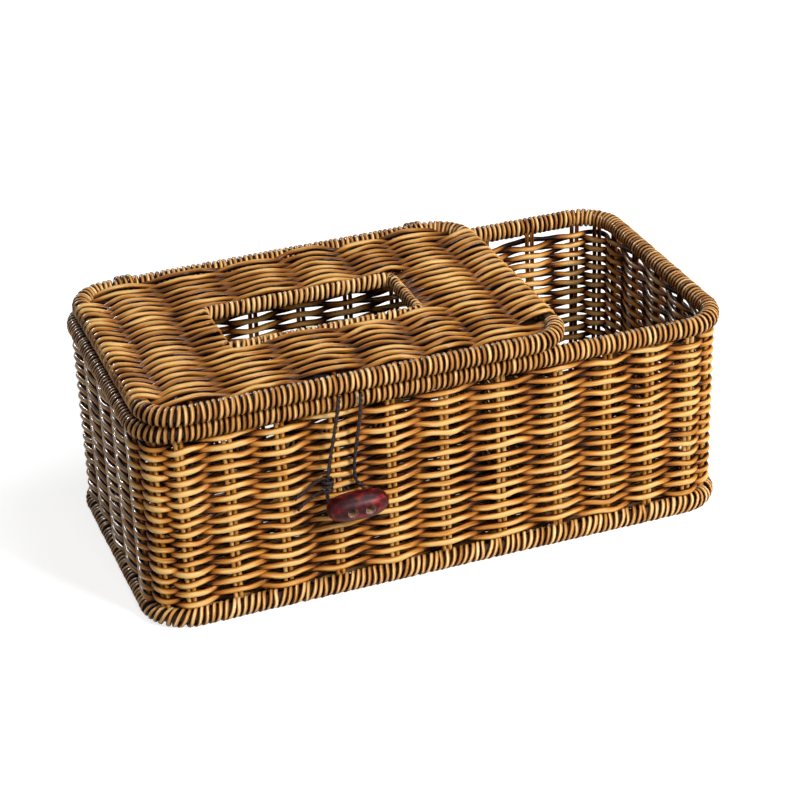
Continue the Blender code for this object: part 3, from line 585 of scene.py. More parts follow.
def wicker(name, stops, lift):
    """Varnished wicker: painted shade in the crevices, streaks along the strand, and a painted highlight on
    the crest.

    lift moves it up its colours, so that all of it is paler.
    """
    material, tree, shader = material_nodes(name)
    exposure = add_node(tree, "ShaderNodeAttribute", attribute_name="exposure").outputs["Fac"]
    tone = add_node(tree, "ShaderNodeAttribute", attribute_name="tone").outputs["Fac"]
    grain = add_node(tree, "ShaderNodeAttribute", attribute_name="grain").outputs["Vector"]
    streaks = noise(tree, grain, STREAK_SCALE)
    patches = noise(tree, grain, PATCH_SCALE, detail=2.0)
    # The painted light sets the place on the ramp: painted shade low, painted highlight high
    shade = maths(tree, "ADD", exposure, lift - TONE_WEIGHT / 2)
    shade = maths(tree, "MULTIPLY_ADD", tone, TONE_WEIGHT, shade)
    shade = maths(tree, "MULTIPLY_ADD", maths(tree, "SUBTRACT", streaks, 0.5), STREAK_WEIGHT, shade)
    patches = maths(tree, "SUBTRACT", patches, 0.5)
    shade = maths(tree, "MULTIPLY_ADD", patches, PATCH_WEIGHT, shade, clamp=True)
    set_inputs(tree, shader, {
        "Base Color": ramp(tree, shade, stops),
        "Roughness": maths(tree, "MULTIPLY_ADD", streaks, STREAK_ROUGHNESS, WICKER_ROUGHNESS),
        "Normal": bump(tree, streaks, strength=0.35, distance=0.0003),
        "Specular IOR Level": WICKER_SPECULAR,
        "Coat Weight": WICKER_COAT,
        "Coat Roughness": WICKER_COAT_ROUGHNESS,
    })
    return material


honey = wicker("honey_wicker", HONEY, lift=0.09)
brown = wicker("brown_wicker", BROWN, lift=0.04)
# The floor's and the divider's wicker is painted darker, as painted shade inside the basket
shaded_inner_brown = wicker("shaded_inner_wicker", INNER, lift=0.04)
base_binding = wicker("base_binding_wicker", BOUND, lift=-0.05)
# The top rim's, the lid's and the ties' windings are painted darker than the base rim's, as painted shade
# under the lid
binding = wicker("binding_wicker", BOUND, lift=-0.14)


def make_stakes():
    """All uprights of the walls: pairs of rods, each with a bend of its own, that reach into both rims."""
    share = np.linspace(0, 1, ROD_STEPS)
    strands = Strands()
    for place, normal in zip(*wall_ring.at(stakes)):
        along = np.cross(UP, normal)
        crest = np.tile(normal, (ROD_STEPS, 1))
        for side in (-1, 1):
            path = np.tile(place, (ROD_STEPS, 1)) + along * side * ROD_SPACING / 2
            path[:, 2] = base_rim_z + (top_rim_z - base_rim_z) * share
            path += np.outer(waves(share, ROD_BEND_TURNS, count=3), along) * ROD_RADIUS * ROD_BEND_ALONG
            path += np.outer(waves(share, ROD_BEND_TURNS, count=3), normal) * ROD_RADIUS * ROD_BEND_OUT
            tone = random.uniform(*WALL_ROD_TONES)
            strands.add(path, crest, WALL_ROD_BULGE, tone, ROD_RADIUS, ROD_RADIUS, sides=ROD_SIDES)
    obj = strands.build("wall_rods", honey)
    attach(obj, "root")
    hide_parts(*stake_nodes)


def thickness(radius, share, turns):
    """A weaver's half width along its length, about a radius, with the natural spread."""
    own = radius * random.uniform(1 - THICKNESS_SPREAD, 1 + THICKNESS_SPREAD)
    return own * (1 + THICKNESS_WAVE * waves(share, turns))


def make_walls():
    """The weavers, row over row once round the basket, before one upright and behind the next."""
    strands = Strands()
    rows = round((wall_top - wall_bottom) / ROW_PITCH) + 1
    top = top_rim_z - RIM_RADIUS - TOP_ROW_GAP
    ahead = np.append(stakes[1:], stakes[0] + wall_ring.length)
    steps = np.arange(SPAN_STEPS) / SPAN_STEPS
    s = (stakes[:, None] + (ahead - stakes)[:, None] * steps).ravel()
    share = s / wall_ring.length
    place, normal = wall_ring.at(s)
    alternate = np.where(np.arange(len(stakes)) % 2, -1.0, 1.0)
    swing = ROD_RADIUS + WEAVER_RADIUS + WEAVE_CLEARANCE
    sway = waves(share, ROW_SWAY_TURNS)
    second_sway = waves(share, SECOND_SWAY_TURNS)
    top_sway = waves(share, TOP_SWAY_TURNS) - 1
    for row in range(rows):
        wave = (alternate[:, None] * np.cos(np.pi * steps)).ravel() * (1 if row % 2 else -1)
        wave = bent(wave, WAVE_POWER)
        tones = random.rand(len(stakes))
        tone = (tones[:, None] + (np.roll(tones, -1) - tones)[:, None] * ease(steps)).ravel()
        height = (row + 0.5) / rows
        z = wall_bottom + height * (top - wall_bottom)
        z = z + sway * ROW_SWAY * math.sin(math.pi * height)
        z = z + second_sway * ROW_SWAY / 2 * math.sin(2 * math.pi * height)
        z = z + top_sway * TOP_SWAY * height**TOP_SWAY_POWER
        z = z + waves(share, WALL_JITTER_TURNS) * ROW_JITTER
        path = place + normal * (swing * wave)[:, None]
        path[:, 2] = z
        thick = thickness(WEAVER_RADIUS, share, WALL_THICKNESS_TURNS)
        across = thick * (1 + WALL_CREST_WIDENING * np.abs(wave))
        bulge = wave + WALL_FACE * (1 - np.abs(wave))
        strands.add(path, normal, bulge, tone, across, thick, closed=True, sharp=WALL_SHARP)
    obj = strands.build("wall_weavers", honey)
    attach(obj, "root")
    wall_nodes = [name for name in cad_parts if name.endswith("wall_weave")]
    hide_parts(*wall_nodes, *nodes_named("corner_weave"))


def wind(strands, ring, z, first, last, radii=RIM_RADII, pitch=WRAP_PITCH, starts=1, loose=1.0):
    """Winds strands round a rim along its ring, from length first to length last, or all round it.

    radii are the winding's outer half sizes, outwards and upwards. starts is the number of strands side by
    side. loose says how uneven the winding is, where 1 is neat work.
    """
    out, up = radii
    whole = math.isclose(last - first, ring.length)
    turns = max(round((last - first) / (pitch * starts)), 1)
    for start in range(starts):
        turn = np.arange(turns * WRAP_STEPS + (0 if whole else 1)) / WRAP_STEPS
        angle = 2 * np.pi * turn + math.radians(WRAP_START_DEGREES)
        index = turn.astype(int)
        tone = random.uniform(*WRAP_TONES, turns + 1)[index]
        shift = (random.rand(turns + 1) - 0.5)[index] * WRAP_JITTER * 2 * loose
        tilt = (random.rand(turns + 1) - 0.5)[index] * WRAP_TILT * 2 * loose
        share = turn / turns
        s = first + (last - first) * (share + start / (starts * turns))
        s = s + shift * np.sin(angle) ** 2 + tilt * np.sin(angle)
        swell = 1 + WRAP_SWELL * waves(share, WRAP_SWELL_TURNS)
        place, normal = ring.at(s)
        spoke_out, spoke_up = np.cos(angle), np.sin(angle)
        # Painted shade on the underside of each winding, put into its tone
        tone = tone - UNDERSIDE_PAINTED_SHADE * np.clip(-spoke_up - UNDERSIDE_START, 0, 1)
        crest = normal * (spoke_out / out)[:, None] + UP * (spoke_up / up)[:, None]
        crest /= np.linalg.norm(crest, axis=1, keepdims=True)
        path = place + normal * (spoke_out * (out - WRAP_DEPTH) * swell)[:, None]
        path[:, 2] += z + spoke_up * (up - WRAP_DEPTH) * swell
        across = WRAP_RADIUS * (1 + WRAP_SPREAD * (random.rand(turns + 1)[index] - 0.5))
        strands.add(
            path, crest, 1.0, tone, across, WRAP_DEPTH, closed=whole, sides=WRAP_SIDES, sharp=WRAP_SHARP
        )


def make_rims():
    """The bound base rim and top rim."""
    top = Strands()
    wind(top, top_ring, top_rim_z, 0.0, top_ring.length)
    obj = top.build("top_rim_wraps", binding)
    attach(obj, "root")
    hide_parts("top_rim_binding")
    base = Strands()
    rough = {"pitch": BASE_WRAP_PITCH, "starts": BASE_WRAP_STARTS, "loose": BASE_WRAP_LOOSENESS}
    wind(base, base_ring, base_rim_z, 0.0, base_ring.length, **rough)
    obj = base.build("base_rim_wraps", base_binding)
    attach(obj, "root")
    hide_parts("base_rim_binding")


def body_wave(rods, sign, first_z, last_z, middle_z, swing, first_x, last_x):
    """Places x, heights z and bulges of a strand that goes over and under a row of rods between two ends."""
    steps = np.arange(SPAN_STEPS) / SPAN_STEPS
    signs = np.where(np.arange(len(rods)) % 2, -1.0, 1.0) * sign
    x = np.append((rods[:-1, None] + np.diff(rods)[:, None] * steps).ravel(), rods[-1])
    wave = np.append((signs[:-1, None] * np.cos(np.pi * steps)).ravel(), signs[-1])
    z = middle_z + swing * bent(wave, WAVE_POWER)
    lead_x = first_x + (x[0] - first_x) * steps
    lead_z = first_z + (z[0] - first_z) * ease(steps)
    steps = (np.arange(SPAN_STEPS) + 1) / SPAN_STEPS
    tail_x = x[-1] + (last_x - x[-1]) * steps
    tail_z = z[-1] + (last_z - z[-1]) * ease(steps)
    x = np.concatenate([lead_x, x, tail_x])
    z = np.concatenate([lead_z, z, tail_z])
    return x, z, np.clip((z - middle_z) / swing, -1, 1)


def end_piece(end, side, over, radius):
    """A strand's end turned round a rim, or nothing for a tuck, and the height where its body starts."""
    kind, axis_x, z, radii = end
    if kind == "tuck":
        return [], z
    out, up = (r * random.uniform(*HOOK_TIGHTNESS) - radius for r in radii)
    tip, leave = HOOK_OVER_DEGREES if over else HOOK_UNDER_DEGREES
    angle = np.radians(np.linspace(tip, leave, HOOK_STEPS))
    spoke = np.stack([side * np.cos(angle), np.zeros_like(angle), np.sin(angle)], 1)
    x = axis_x + side * out * np.cos(angle)
    heights = z + up * np.sin(angle)
    bulge = np.full(HOOK_STEPS, 1.0 if over else -1.0)
    piece = (x, heights, spoke if over else -spoke, bulge)
    return [[values[:-1] for values in piece]], heights[-1]


def mat_strand(strands, y, rods, sign, ends, middle_z, swing, radius, y_sway, flat=1.0):
    """One strand of a mat along X, between two ends.

    Each end is (kind, x of the rim's axis, its height, its outer radii), where kind is hook or tuck. flat
    says how many times wider than thick the strand is.
    """
    last_sign = sign if len(rods) % 2 else -sign
    head, start_z = end_piece(ends[0], -1, sign < 0, radius)
    tail, end_z = end_piece(ends[1], 1, last_sign < 0, radius)
    left_x, right_x = ends[0][1], ends[1][1]
    x, z, bulge = body_wave(rods, sign, start_z, end_z, middle_z, swing, left_x, right_x)
    body = (x, z, np.tile(UP, (len(x), 1)), bulge)
    tail = [[values[::-1] for values in piece] for piece in tail]
    x, z, crest, bulge = (np.concatenate(group) for group in zip(*head, body, *tail))
    share = (x - lid_rim_low[0]) / (lid_rim_high[0] - lid_rim_low[0])
    reach = min(HOOK_REACH, (right_x - left_x) / 2)
    lean = random.uniform(-HOOK_LEAN, HOOK_LEAN, 2)
    bends = [left_x, left_x + reach, right_x - reach, right_x]
    lean = np.interp(x, bends, [lean[0], 0.0, 0.0, lean[1]])
    shift = y_sway(share) + lean + waves(share, MAT_JITTER_TURNS) * MAT_JITTER
    path = np.stack([x, y + shift, z], 1)
    tones = random.rand(len(rods) + 3)
    spread = np.interp(x, np.concatenate([[left_x], rods, [right_x]]), np.arange(len(rods) + 2))
    whole = spread.astype(int)
    tone = tones[whole] + (tones[whole + 1] - tones[whole]) * ease(spread - whole)
    thick = thickness(radius, share, MAT_THICKNESS_TURNS)
    across = thick * flat * (1 + MAT_CREST_WIDENING * np.abs(bulge * crest[:, 2]))
    bulge = MAT_FACE + (1 - MAT_FACE) * bulge
    strands.add(path, crest, bulge, tone, across, thick, sharp=MAT_SHARP)


def even_places(low, high, count):
    """The middles of that many equal parts of a stretch."""
    return low + (high - low) * (np.arange(count) + 0.5) / count


def row_places(*edges):
    """The places of a mat's rows, spread evenly over each stretch between the edges."""
    stretches = zip(edges[:-1], edges[1:])
    return np.concatenate([even_places(a, b, round((b - a) / ROW_PITCH)) for a, b in stretches])


def straight_rod(strands, start, end, crest, depth):
    """A straight rod between two points."""
    path = np.linspace(start, end, STRAIGHT_ROD_STEPS)
    crest = np.tile(crest, (STRAIGHT_ROD_STEPS, 1))
    strands.add(path, crest, INNER_ROD_BULGE, ROD_TONE, ROD_RADIUS, depth)


class LidSway:
    """The lid's rods and rows, and how far each strays from its straight line."""

    def __init__(self):
        self.rods = lid_rim_low[0] + (lid_rim_high[0] - lid_rim_low[0]) * np.array(LID_ROD_SHARES)
        self.phases = random.rand(2)
        self.rod_turns = random.uniform(*LID_ROD_TURNS, len(self.rods))
        self.rod_starts = random.rand(len(self.rods))

    def rods_at(self, y):
        """The rods' places x where a row at y meets them."""
        share = (y - mat_low[1]) / (mat_high[1] - mat_low[1])
        return self.rods + LID_ROD_SWAY * np.sin(2 * np.pi * (self.rod_turns * share + self.rod_starts))

    def row_shift(self, share):
        """How far all rows are shifted along Y at a share of the lid's length."""
        pairs = zip(LID_SWAY_TURNS, self.phases)
        return LID_SWAY * sum(np.sin(2 * np.pi * (turns * share + phase)) for turns, phase in pairs)


def make_lid_mat(sway):
    """The lid's strands, turned round its end rods and round the slot's left edge."""
    swing = ROD_RADIUS + WEAVER_RADIUS + WEAVE_CLEARANCE / 2
    slot_edges = (slot_low[1] + SLOT_OVERLAP, slot_high[1] - SLOT_OVERLAP)
    slot_left = ("hook", slot_low[0] + SLOT_RIM_RADII[0], lid_z, SLOT_RIM_RADII)
    slot_right = ("tuck", slot_high[0] - SLOT_RIM_RADII[0], lid_z, None)
    form = (swing, WEAVER_RADIUS, sway.row_shift)
    rods = sway.rods
    rows = row_places(mat_low[1] + FRONT_GAP, *slot_edges, mat_high[1] + BACK_OVERLAP)
    mat = Strands()
    for row, y in enumerate(rows):
        lift = BACK_LIFT * max(1 - (mat_high[1] - y) / (BACK_LIFT_ROWS * ROW_PITCH), 0.0)
        offset = y - lid_ring.centre[1]
        reach = lid_ring.reach(0, offset)
        kind = "tuck" if abs(offset) > lid_ring.flat[1] / 2 else "hook"
        left_end = (kind, lid_ring.centre[0] - reach, lid_z, RIM_RADII)
        right_end = (kind, lid_ring.centre[0] + reach, lid_z, RIM_RADII)
        keep = (rods > left_end[1] + RIM_RADIUS) & (rods < right_end[1] - RIM_RADIUS)
        sign = 1 if (row + int(np.argmax(keep))) % 2 else -1
        kept = sway.rods_at(y)[keep]
        if not slot_edges[0] < y < slot_edges[1]:
            mat_strand(mat, y, kept, sign, (left_end, right_end), mat_z + lift, *form)
            continue
        before = kept[kept < slot_low[0] - WEAVER_RADIUS]
        after = kept[kept > slot_high[0] + WEAVER_RADIUS]
        mat_strand(mat, y, before, sign, (left_end, slot_left), mat_z, *form)
        after_sign = sign if (len(kept) - len(after)) % 2 == 0 else -sign
        mat_strand(mat, y, after, after_sign, (slot_right, right_end), mat_z, *form)
    obj = mat.build("lid_strands", brown)
    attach(obj, "lid")
    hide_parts("lid_weave")


def make_lid_rods(sway):
    """The rods that the lid's strands are woven on, which stop at the slot."""
    lid_rods = Strands()
    crest = np.tile(UP, (LID_ROD_STEPS, 1))
    height = np.full(LID_ROD_STEPS, mat_z)
    for k, x in enumerate(sway.rods):
        reach = lid_ring.reach(1, x - lid_ring.centre[0])
        ends = [lid_ring.centre[1] - reach, lid_ring.centre[1] + reach]
        if slot_low[0] < x < slot_high[0]:
            ends[1:1] = slot_low[1] + SLOT_RIM_RADII[0], slot_high[1] - SLOT_RIM_RADII[0]
        for start, end in zip(ends[::2], ends[1::2]):
            y = np.linspace(start, end, LID_ROD_STEPS)
            path = np.stack([[sway.rods_at(place)[k] for place in y], y, height], 1)
            lid_rods.add(path, crest, LID_ROD_BULGE, ROD_TONE, ROD_RADIUS, ROD_RADIUS)
    obj = lid_rods.build("lid_rods", brown)
    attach(obj, "lid")


def make_lid_rim():
    """The binding of the lid's front and back edges and their corners."""
    wraps = Strands()
    half = lid_ring.flat[0] / 2 + lid_ring.arc
    for middle in (0.0, lid_ring.length / 2):
        wind(wraps, lid_ring, lid_z, middle - half, middle + half)
    obj = wraps.build("lid_rim_wraps", binding)
    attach(obj, "lid")
    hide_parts("lid_rim_binding")


def make_slot_rim():
    """The binding round the slot, which leaves out its left edge."""
    inset = SLOT_RIM_RADII[0]
    centre = (slot_low + slot_high) / 2
    half = (slot_high - slot_low) / 2 - inset
    ring = Ring(centre[:2], half[0], half[1], SLOT_CORNER - inset)
    slot_wraps = Strands()
    first = -(ring.flat[0] / 2 + ring.arc)
    last = first + ring.length - ring.flat[1]
    wind(slot_wraps, ring, lid_z, first, last, SLOT_RIM_RADII)
    obj = slot_wraps.build("slot_rim_wraps", base_binding)
    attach(obj, "lid")
    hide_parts("slot_rim_binding")


def make_lid():
    """The lid's woven mat, with its rods, and its two bindings."""
    sway = LidSway()
    make_lid_mat(sway)
    make_lid_rods(sway)
    make_lid_rim()
    make_slot_rim()


def make_floor_mat():
    """The woven floor of the basket, inside its base rim."""
    low, high = corners("base_panel")
    middle_z = (low[2] + high[2]) / 2
    ring = Ring((low + high)[:2] / 2, (high[0] - low[0]) / 2, (high[1] - low[1]) / 2, PANEL_CORNER)
    rods = even_places(low[0], high[0], BASE_RODS)
    form = (BASE_STRAND, BASE_STRAND, np.zeros_like, BASE_STRAND_FLATNESS)
    mat = Strands()
    for row, y in enumerate(row_places(low[1], high[1])):
        reach = ring.reach(0, y - ring.centre[1])
        ends = [("tuck", ring.centre[0] + side * reach, middle_z, None) for side in (-1, 1)]
        keep = np.abs(rods - ring.centre[0]) < reach - ROD_RADIUS
        sign = 1 if (row + int(np.argmax(keep))) % 2 else -1
        mat_strand(mat, y, rods[keep], sign, ends, middle_z, *form)
    for x in rods:
        reach = ring.reach(1, x - ring.centre[0])
        start, end = ((x, ring.centre[1] + side * reach, middle_z) for side in (-1, 1))
        straight_rod(mat, start, end, UP, BASE_STRAND)
    obj = mat.build("floor_strands", shaded_inner_brown)
    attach(obj, "root")
    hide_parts("base_panel")


def make_divider():
    """The woven partition between the bays."""
    low, high = corners("divider_weave")
    middle_x = (low[0] + high[0]) / 2
    rods = even_places(low[1], high[1], DIVIDER_RODS)
    swing = (high[0] - low[0]) / 2 - DIVIDER_STRAND
    facing = np.array([1.0, 0.0, 0.0])
    divider = Strands()
    for row, z in enumerate(row_places(low[2], high[2])):
        sign = 1 if row % 2 else -1
        y, x, bulge = body_wave(rods, sign, middle_x, middle_x, middle_x, swing, low[1], high[1])
        share = (y - low[1]) / (high[1] - low[1])
        path = np.stack([x, y, z + waves(share, DIVIDER_JITTER_TURNS) * ROW_JITTER], 1)
        crest = np.tile(facing, (len(y), 1))
        tone = DIVIDER_TONE + TONE_WAVE * waves(share, DIVIDER_TONE_TURNS)
        divider.add(path, crest, bulge, tone, WEAVER_RADIUS, DIVIDER_STRAND)
    for y in rods:
        straight_rod(divider, (middle_x, y, low[2]), (middle_x, y, high[2]), facing, ROD_RADIUS)
    obj = divider.build("divider_strands", shaded_inner_brown)
    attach(obj, "root")
    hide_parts("divider_weave")


def smooth_route(points, steps):
    """A smooth curve through the points, with that many steps a span."""
    points = np.array(points, float)
    padded = np.vstack([2 * points[0] - points[1], points, 2 * points[-1] - points[-2]])
    t = (np.arange(steps) / steps)[:, None]
    route = []
    for a, b, c, d in zip(padded, padded[1:], padded[2:], padded[3:]):
        bend = 2 * b + (c - a) * t + (2 * a - 5 * b + 4 * c - d) * t**2
        route.append((bend + (3 * b - a - 3 * c + d) * t**3) / 2)
    return np.vstack([*route, points[-1]])


def cord_material(name, scale, dark, pale):
    """Twisted cord: its two colours in fine fibres over the object's own coordinates."""
    material, tree, shader = material_nodes(name)
    fibres = noise(tree, own_place(tree), scale)
    set_inputs(tree, shader, {
        "Base Color": ramp(tree, fibres, ((0.3, dark), (0.75, pale))),
        "Normal": bump(tree, fibres, strength=0.6, distance=0.0002),
        "Roughness": 0.5,
        "Specular IOR Level": 0.3,
    })
    return material


dark_cord = cord_material("dark_cord", 1800.0, (0.004, 0.002, 0.002), (0.035, 0.014, 0.015))
grey_cord = cord_material("grey_cord", 1500.0, (0.05, 0.045, 0.045), (0.30, 0.27, 0.26))


def twist(strands, route, radius, lay):
    """Lays two plies round each other along a route, one turn in each length of lay."""
    along = along_route(route)
    tangent = np.gradient(route, axis=0)
    side = np.cross(tangent, TOWARDS_FRONT)
    side /= np.linalg.norm(side, axis=1, keepdims=True)
    third = np.cross(side, tangent)
    third /= np.linalg.norm(third, axis=1, keepdims=True)
    ply = radius * PLY_SHARE
    for start in (0.0, np.pi):
        angle = 2 * np.pi * along / lay + start
        spoke = side * np.cos(angle)[:, None] + third * np.sin(angle)[:, None]
        strands.add(route + spoke * (radius - ply), third, 0.5, 0.5, ply, ply)


def knot_route():
    """The knot's cord: its lower tail, its turns round the loop's left strand and its upper tail."""
    centre = np.array(LOOP_ROUTE[KNOT_LOOP_POINT])
    strand = np.array(LOOP_ROUTE[KNOT_LOOP_POINT - 1]) - centre
    strand /= np.linalg.norm(strand)
    across = np.array([-1.0, 0.0, 0.0])
    across -= strand * across.dot(strand)
    across /= np.linalg.norm(across)
    third = np.cross(strand, across)
    radius = LOOP_RADIUS + KNOT_CLEARANCE + KNOT_CORD_RADIUS
    pitch = 2 * KNOT_CORD_RADIUS + KNOT_TURN_GAP
    turn = np.linspace(0, KNOT_TURNS, KNOT_TURNS * KNOT_TURN_STEPS + 1)[:, None]
    spoke = across * np.cos(2 * np.pi * turn) + third * np.sin(2 * np.pi * turn)
    coil = centre + strand * pitch * (turn - KNOT_TURNS / 2) + spoke * radius
    lower = smooth_route([coil[0], *LOWER_TAIL], TAIL_SPAN_STEPS)[::-1]
    upper = smooth_route([coil[-1], *UPPER_TAIL], TAIL_SPAN_STEPS)
    return np.vstack([lower[:-1], coil, upper[1:]]) + np.array([0.0, SHIFT_Y, 0.0])


def make_loop():
    """The closing loop and the knot on it, each of two dark plies twisted together."""
    plies = Strands()
    twist(plies, knot_route(), KNOT_CORD_RADIUS, KNOT_LAY)
    knot = plies.build("loop_knot_cord", dark_cord)
    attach(knot, "loop")
    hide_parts("loop_knot")
    route = smooth_route(LOOP_ROUTE, LOOP_SPAN_STEPS) + np.array([0.0, SHIFT_Y, 0.0])
    plies = Strands()
    twist(plies, route, LOOP_RADIUS, LOOP_LAY)
    obj = plies.build("loop_cord", dark_cord)
    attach(obj, "loop")
    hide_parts("closure_loop")


def make_ties():
    """Each hinge tie: a strand of wicker wound round the basket's back rim and the lid's together."""
    low = np.array([top_ring.centre[1] + top_ring.halves[1], top_rim_z])
    high = np.array([lid_ring.centre[1] + lid_ring.halves[1], lid_z])
    lean = math.atan2(*(high - low)[::-1])
    count = TIE_TURNS * TIE_TURN_STEPS + 1
    half = TIE_TURN_STEPS // 2
    k = np.arange(count)
    side, step = np.divmod(k % TIE_TURN_STEPS, half)
    angle = lean - np.pi / 2 + np.pi * side + np.pi * step / (half - 1)
    spoke = np.stack([np.zeros(count), np.cos(angle), np.sin(angle)], 1)
    path = spoke * (RIM_RADIUS + TIE_DEPTH)
    path[:, 1:] += np.where(side[:, None] == 0, high, low)
    for side_name in ("left", "right"):
        first, last = corners(f"hinge_tie_{side_name}")
        span = last[0] - first[0] - 2 * TIE_RADIUS
        path[:, 0] = first[0] + TIE_RADIUS + span * k / (count - 1)
        strands = Strands()
        tone = TIE_TONE + TONE_WAVE * waves(k / (count - 1), TIE_TONE_TURNS)
        strands.add(path, spoke, 1.0, tone, TIE_RADIUS, TIE_DEPTH, sides=ROD_SIDES, sharp=WRAP_SHARP)
        obj = strands.build(f"hinge_tie_strand_{side_name}", binding)
        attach(obj, "lid")
        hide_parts(f"hinge_tie_{side_name}")


def toggle_material():
    """Deep maroon wood, with redder patches and a fine grain."""
    material, tree, shader = material_nodes("maroon_wood")
    place = own_place(tree)
    grain = noise(tree, place, scale=(160.0, 1400.0, 1400.0), detail=4.0)
    patches = noise(tree, place, scale=330.0)
    shade = maths(tree, "MULTIPLY_ADD", maths(tree, "SUBTRACT", grain, 0.5), 0.4, patches)
    stops = (
        (0.38, (0.018, 0.002, 0.003)),
        (0.55, (0.075, 0.004, 0.006)),
        (0.72, (0.26, 0.014, 0.014)),
    )
    set_inputs(tree, shader, {
        "Base Color": ramp(tree, shade, stops),
        "Normal": bump(tree, patches, strength=0.25, distance=0.0004),
        "Roughness": 0.36,
        "Specular IOR Level": 0.16,
    })
    return material


def worn_wood_material():
    """The paler wood inside the toggle's countersinks."""
    material, tree, shader = material_nodes("worn_wood")
    stops = ((0.35, (0.10, 0.03, 0.02)), (0.7, (0.42, 0.26, 0.17)))
    set_inputs(tree, shader, {
        "Base Color": ramp(tree, noise(tree, own_place(tree), scale=900.0, detail=2.0), stops),
        "Roughness": 0.5,
    })
    return material


def cone_cutter(name, centre, radii, depth, material):
    """A cutter along Y, with its wide end to the front."""
    bpy.ops.mesh.primitive_cone_add(
        vertices=HOLE_SIDES,
        radius1=radii[0],
        radius2=radii[1],
        depth=depth,
        location=centre,
        rotation=(-math.pi / 2, 0.0, 0.0),
    )
    cutter = bpy.context.object
    cutter.name = name
    cutter.data.materials.append(material)
    return cutter


def make_toggle():
    """The turned toggle with its two countersunk holes."""
    low, high = corners("toggle")
    centre, half = (low + high) / 2, (high - low) / 2
    verts, faces = [(centre[0] - half[0], centre[1], centre[2])], []
    for ring in range(1, TOGGLE_RINGS):
        share = -math.cos(math.pi * ring / TOGGLE_RINGS)
        radius = half[2] * (1 - abs(share) ** TOGGLE_END_POWER) ** (1 / TOGGLE_END_POWER)
        for k in range(TOGGLE_SIDES):
            angle = 2 * math.pi * k / TOGGLE_SIDES
            y, z = radius * math.cos(angle), radius * math.sin(angle)
            verts.append((centre[0] + half[0] * share, centre[1] + y, centre[2] + z))
    last = len(verts)
    verts.append((centre[0] + half[0], centre[1], centre[2]))
    for k in range(TOGGLE_SIDES):
        after = (k + 1) % TOGGLE_SIDES
        faces.append((0, 1 + k, 1 + after))
        for ring in range(TOGGLE_RINGS - 2):
            here = 1 + ring * TOGGLE_SIDES
            there = here + TOGGLE_SIDES
            faces.append((here + k, there + k, there + after, here + after))
        end = 1 + (TOGGLE_RINGS - 2) * TOGGLE_SIDES
        faces.append((end + k, last, end + after))
    mesh = bpy.data.meshes.new("toggle_wood")
    mesh.from_pydata(verts, [], faces)
    mesh.materials.append(toggle_material())
    obj = add_object("toggle_wood", mesh)
    worn = worn_wood_material()
    straight = (TOGGLE_HOLE_RADIUS, TOGGLE_HOLE_RADIUS)
    # The countersink's cutter is centred on the front, so it flares on as far outside as it goes in
    flared = (2 * TOGGLE_SINK_RADIUS - TOGGLE_HOLE_RADIUS, TOGGLE_HOLE_RADIUS)
    cutters = []
    for side in (-1, 1):
        x = centre[0] + side * TOGGLE_HOLE_OFFSET
        hole = (x, centre[1], centre[2])
        sink = (x, low[1], centre[2])
        cutters.append(cone_cutter("toggle_hole", hole, straight, 3 * half[1], worn))
        cutters.append(cone_cutter("toggle_sink", sink, flared, 2 * TOGGLE_SINK_DEPTH, worn))
    for cutter in cutters:
        boolean = obj.modifiers.new("hole", "BOOLEAN")
        boolean.object = cutter
        boolean.material_mode = "TRANSFER"
    graph = bpy.context.evaluated_depsgraph_get()
    drilled = bpy.data.meshes.new_from_object(obj.evaluated_get(graph))
    obj.modifiers.clear()
    obj.data = drilled
    for cutter in cutters:
        bpy.data.objects.remove(cutter)
    drilled.shade_smooth()
    drilled.set_sharp_from_angle(angle=math.radians(TOGGLE_EDGE_DEGREES))
    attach(obj, "toggle")
    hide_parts("toggle")


def dress_cad_nodes():
    """Materials for the CAD nodes that stay."""
    core = core_material()
    finishes = {"toggle_cord": grey_cord, "base_rim_core": core, "top_rim_core": core, "lid_frame_core": core}
    for name, material in finishes.items():
        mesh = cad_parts[name].data
        mesh.materials.clear()
        mesh.materials.append(material)


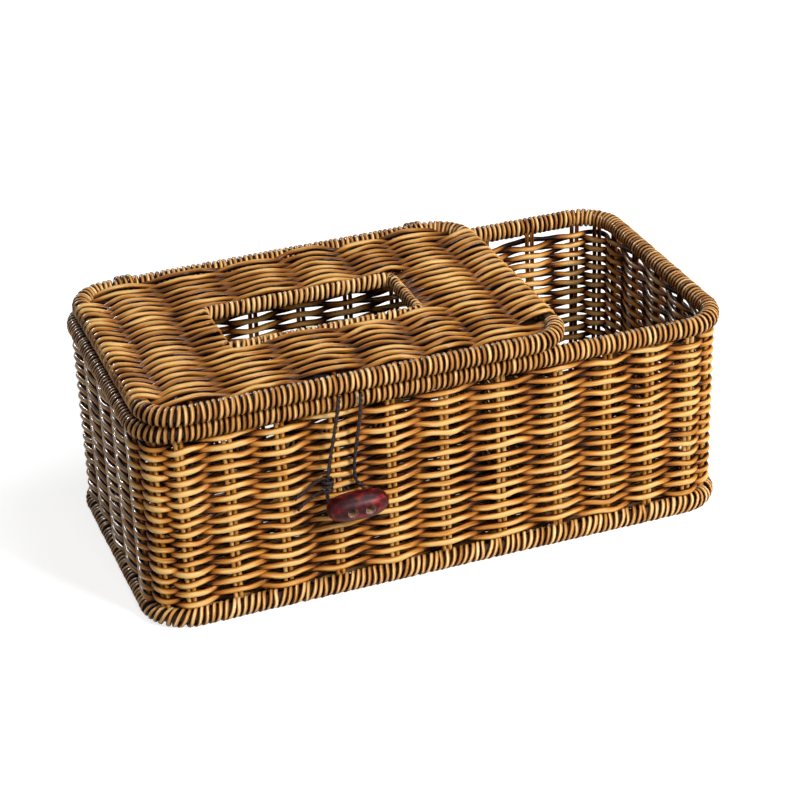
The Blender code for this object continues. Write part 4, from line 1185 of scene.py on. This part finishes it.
def seen_directly(tree):
    """1 where the camera looks, also by way of gloss or glass, and 0 for the light that falls on things."""
    path = add_node(tree, "ShaderNodeLightPath")
    seen = maths(tree, "MAXIMUM", path.outputs["Is Camera Ray"], path.outputs["Is Glossy Ray"])
    return maths(tree, "MAXIMUM", seen, path.outputs["Is Transmission Ray"])


def make_floor():
    """The pale floor, which glows only where it is looked at, so that it is white and keeps the shadow."""
    bpy.ops.mesh.primitive_plane_add(size=FLOOR_SIZE)
    floor = bpy.context.object
    floor.name = "studio_floor"
    material, tree, shader = material_nodes("pale_floor")
    set_inputs(tree, shader, {
        "Base Color": (FLOOR_GREY, FLOOR_GREY, FLOOR_GREY, 1.0),
        "Roughness": 0.9,
        "Emission Color": WHITE,
        "Emission Strength": maths(tree, "MULTIPLY", seen_directly(tree), FLOOR_GLOW),
    })
    floor.data.materials.append(material)


def make_world():
    """A world that is white where it is looked at and gives little light."""
    world = bpy.data.worlds.new("studio_world")
    bpy.context.scene.world = world
    world.use_nodes = True
    tree = world.node_tree
    strength = maths(tree, "MULTIPLY_ADD", seen_directly(tree), 1 - WORLD_LIGHT, WORLD_LIGHT)
    set_inputs(tree, tree.nodes["Background"], {"Color": WHITE, "Strength": strength})


def make_lights():
    """The studio's lamps. The glint light, behind the left side, shows only in the strands' gloss."""
    for name, (place, size, power) in LIGHTS.items():
        light = bpy.data.lights.new(name, "AREA")
        light.size = size
        light.energy = power
        lamp = add_object(name, light)
        lamp.location = place
        lamp.visible_diffuse = name != "glint_light"
        aim = Vector(LIGHTS_AIM) - lamp.location
        lamp.rotation_euler = aim.to_track_quat("-Z", "Y").to_euler()


def make_camera():
    """The camera at the photograph's viewing angle."""
    camera_data = bpy.data.cameras.new("photo_camera")
    camera_data.lens = CAMERA_LENS_MM
    camera_data.sensor_width = SENSOR_MM
    camera = add_object("photo_camera", camera_data)
    camera.location = CAMERA_PLACE
    camera.rotation_euler = [math.radians(turn) for turn in CAMERA_TURN_DEGREES]
    bpy.context.scene.camera = camera
    bpy.context.scene.view_settings.view_transform = "Standard"


make_floor()
make_world()
make_lights()
make_camera()
make_loop()
make_stakes()
make_walls()
make_rims()
make_lid()
make_floor_mat()
make_divider()
make_ties()
make_toggle()
dress_cad_nodes()
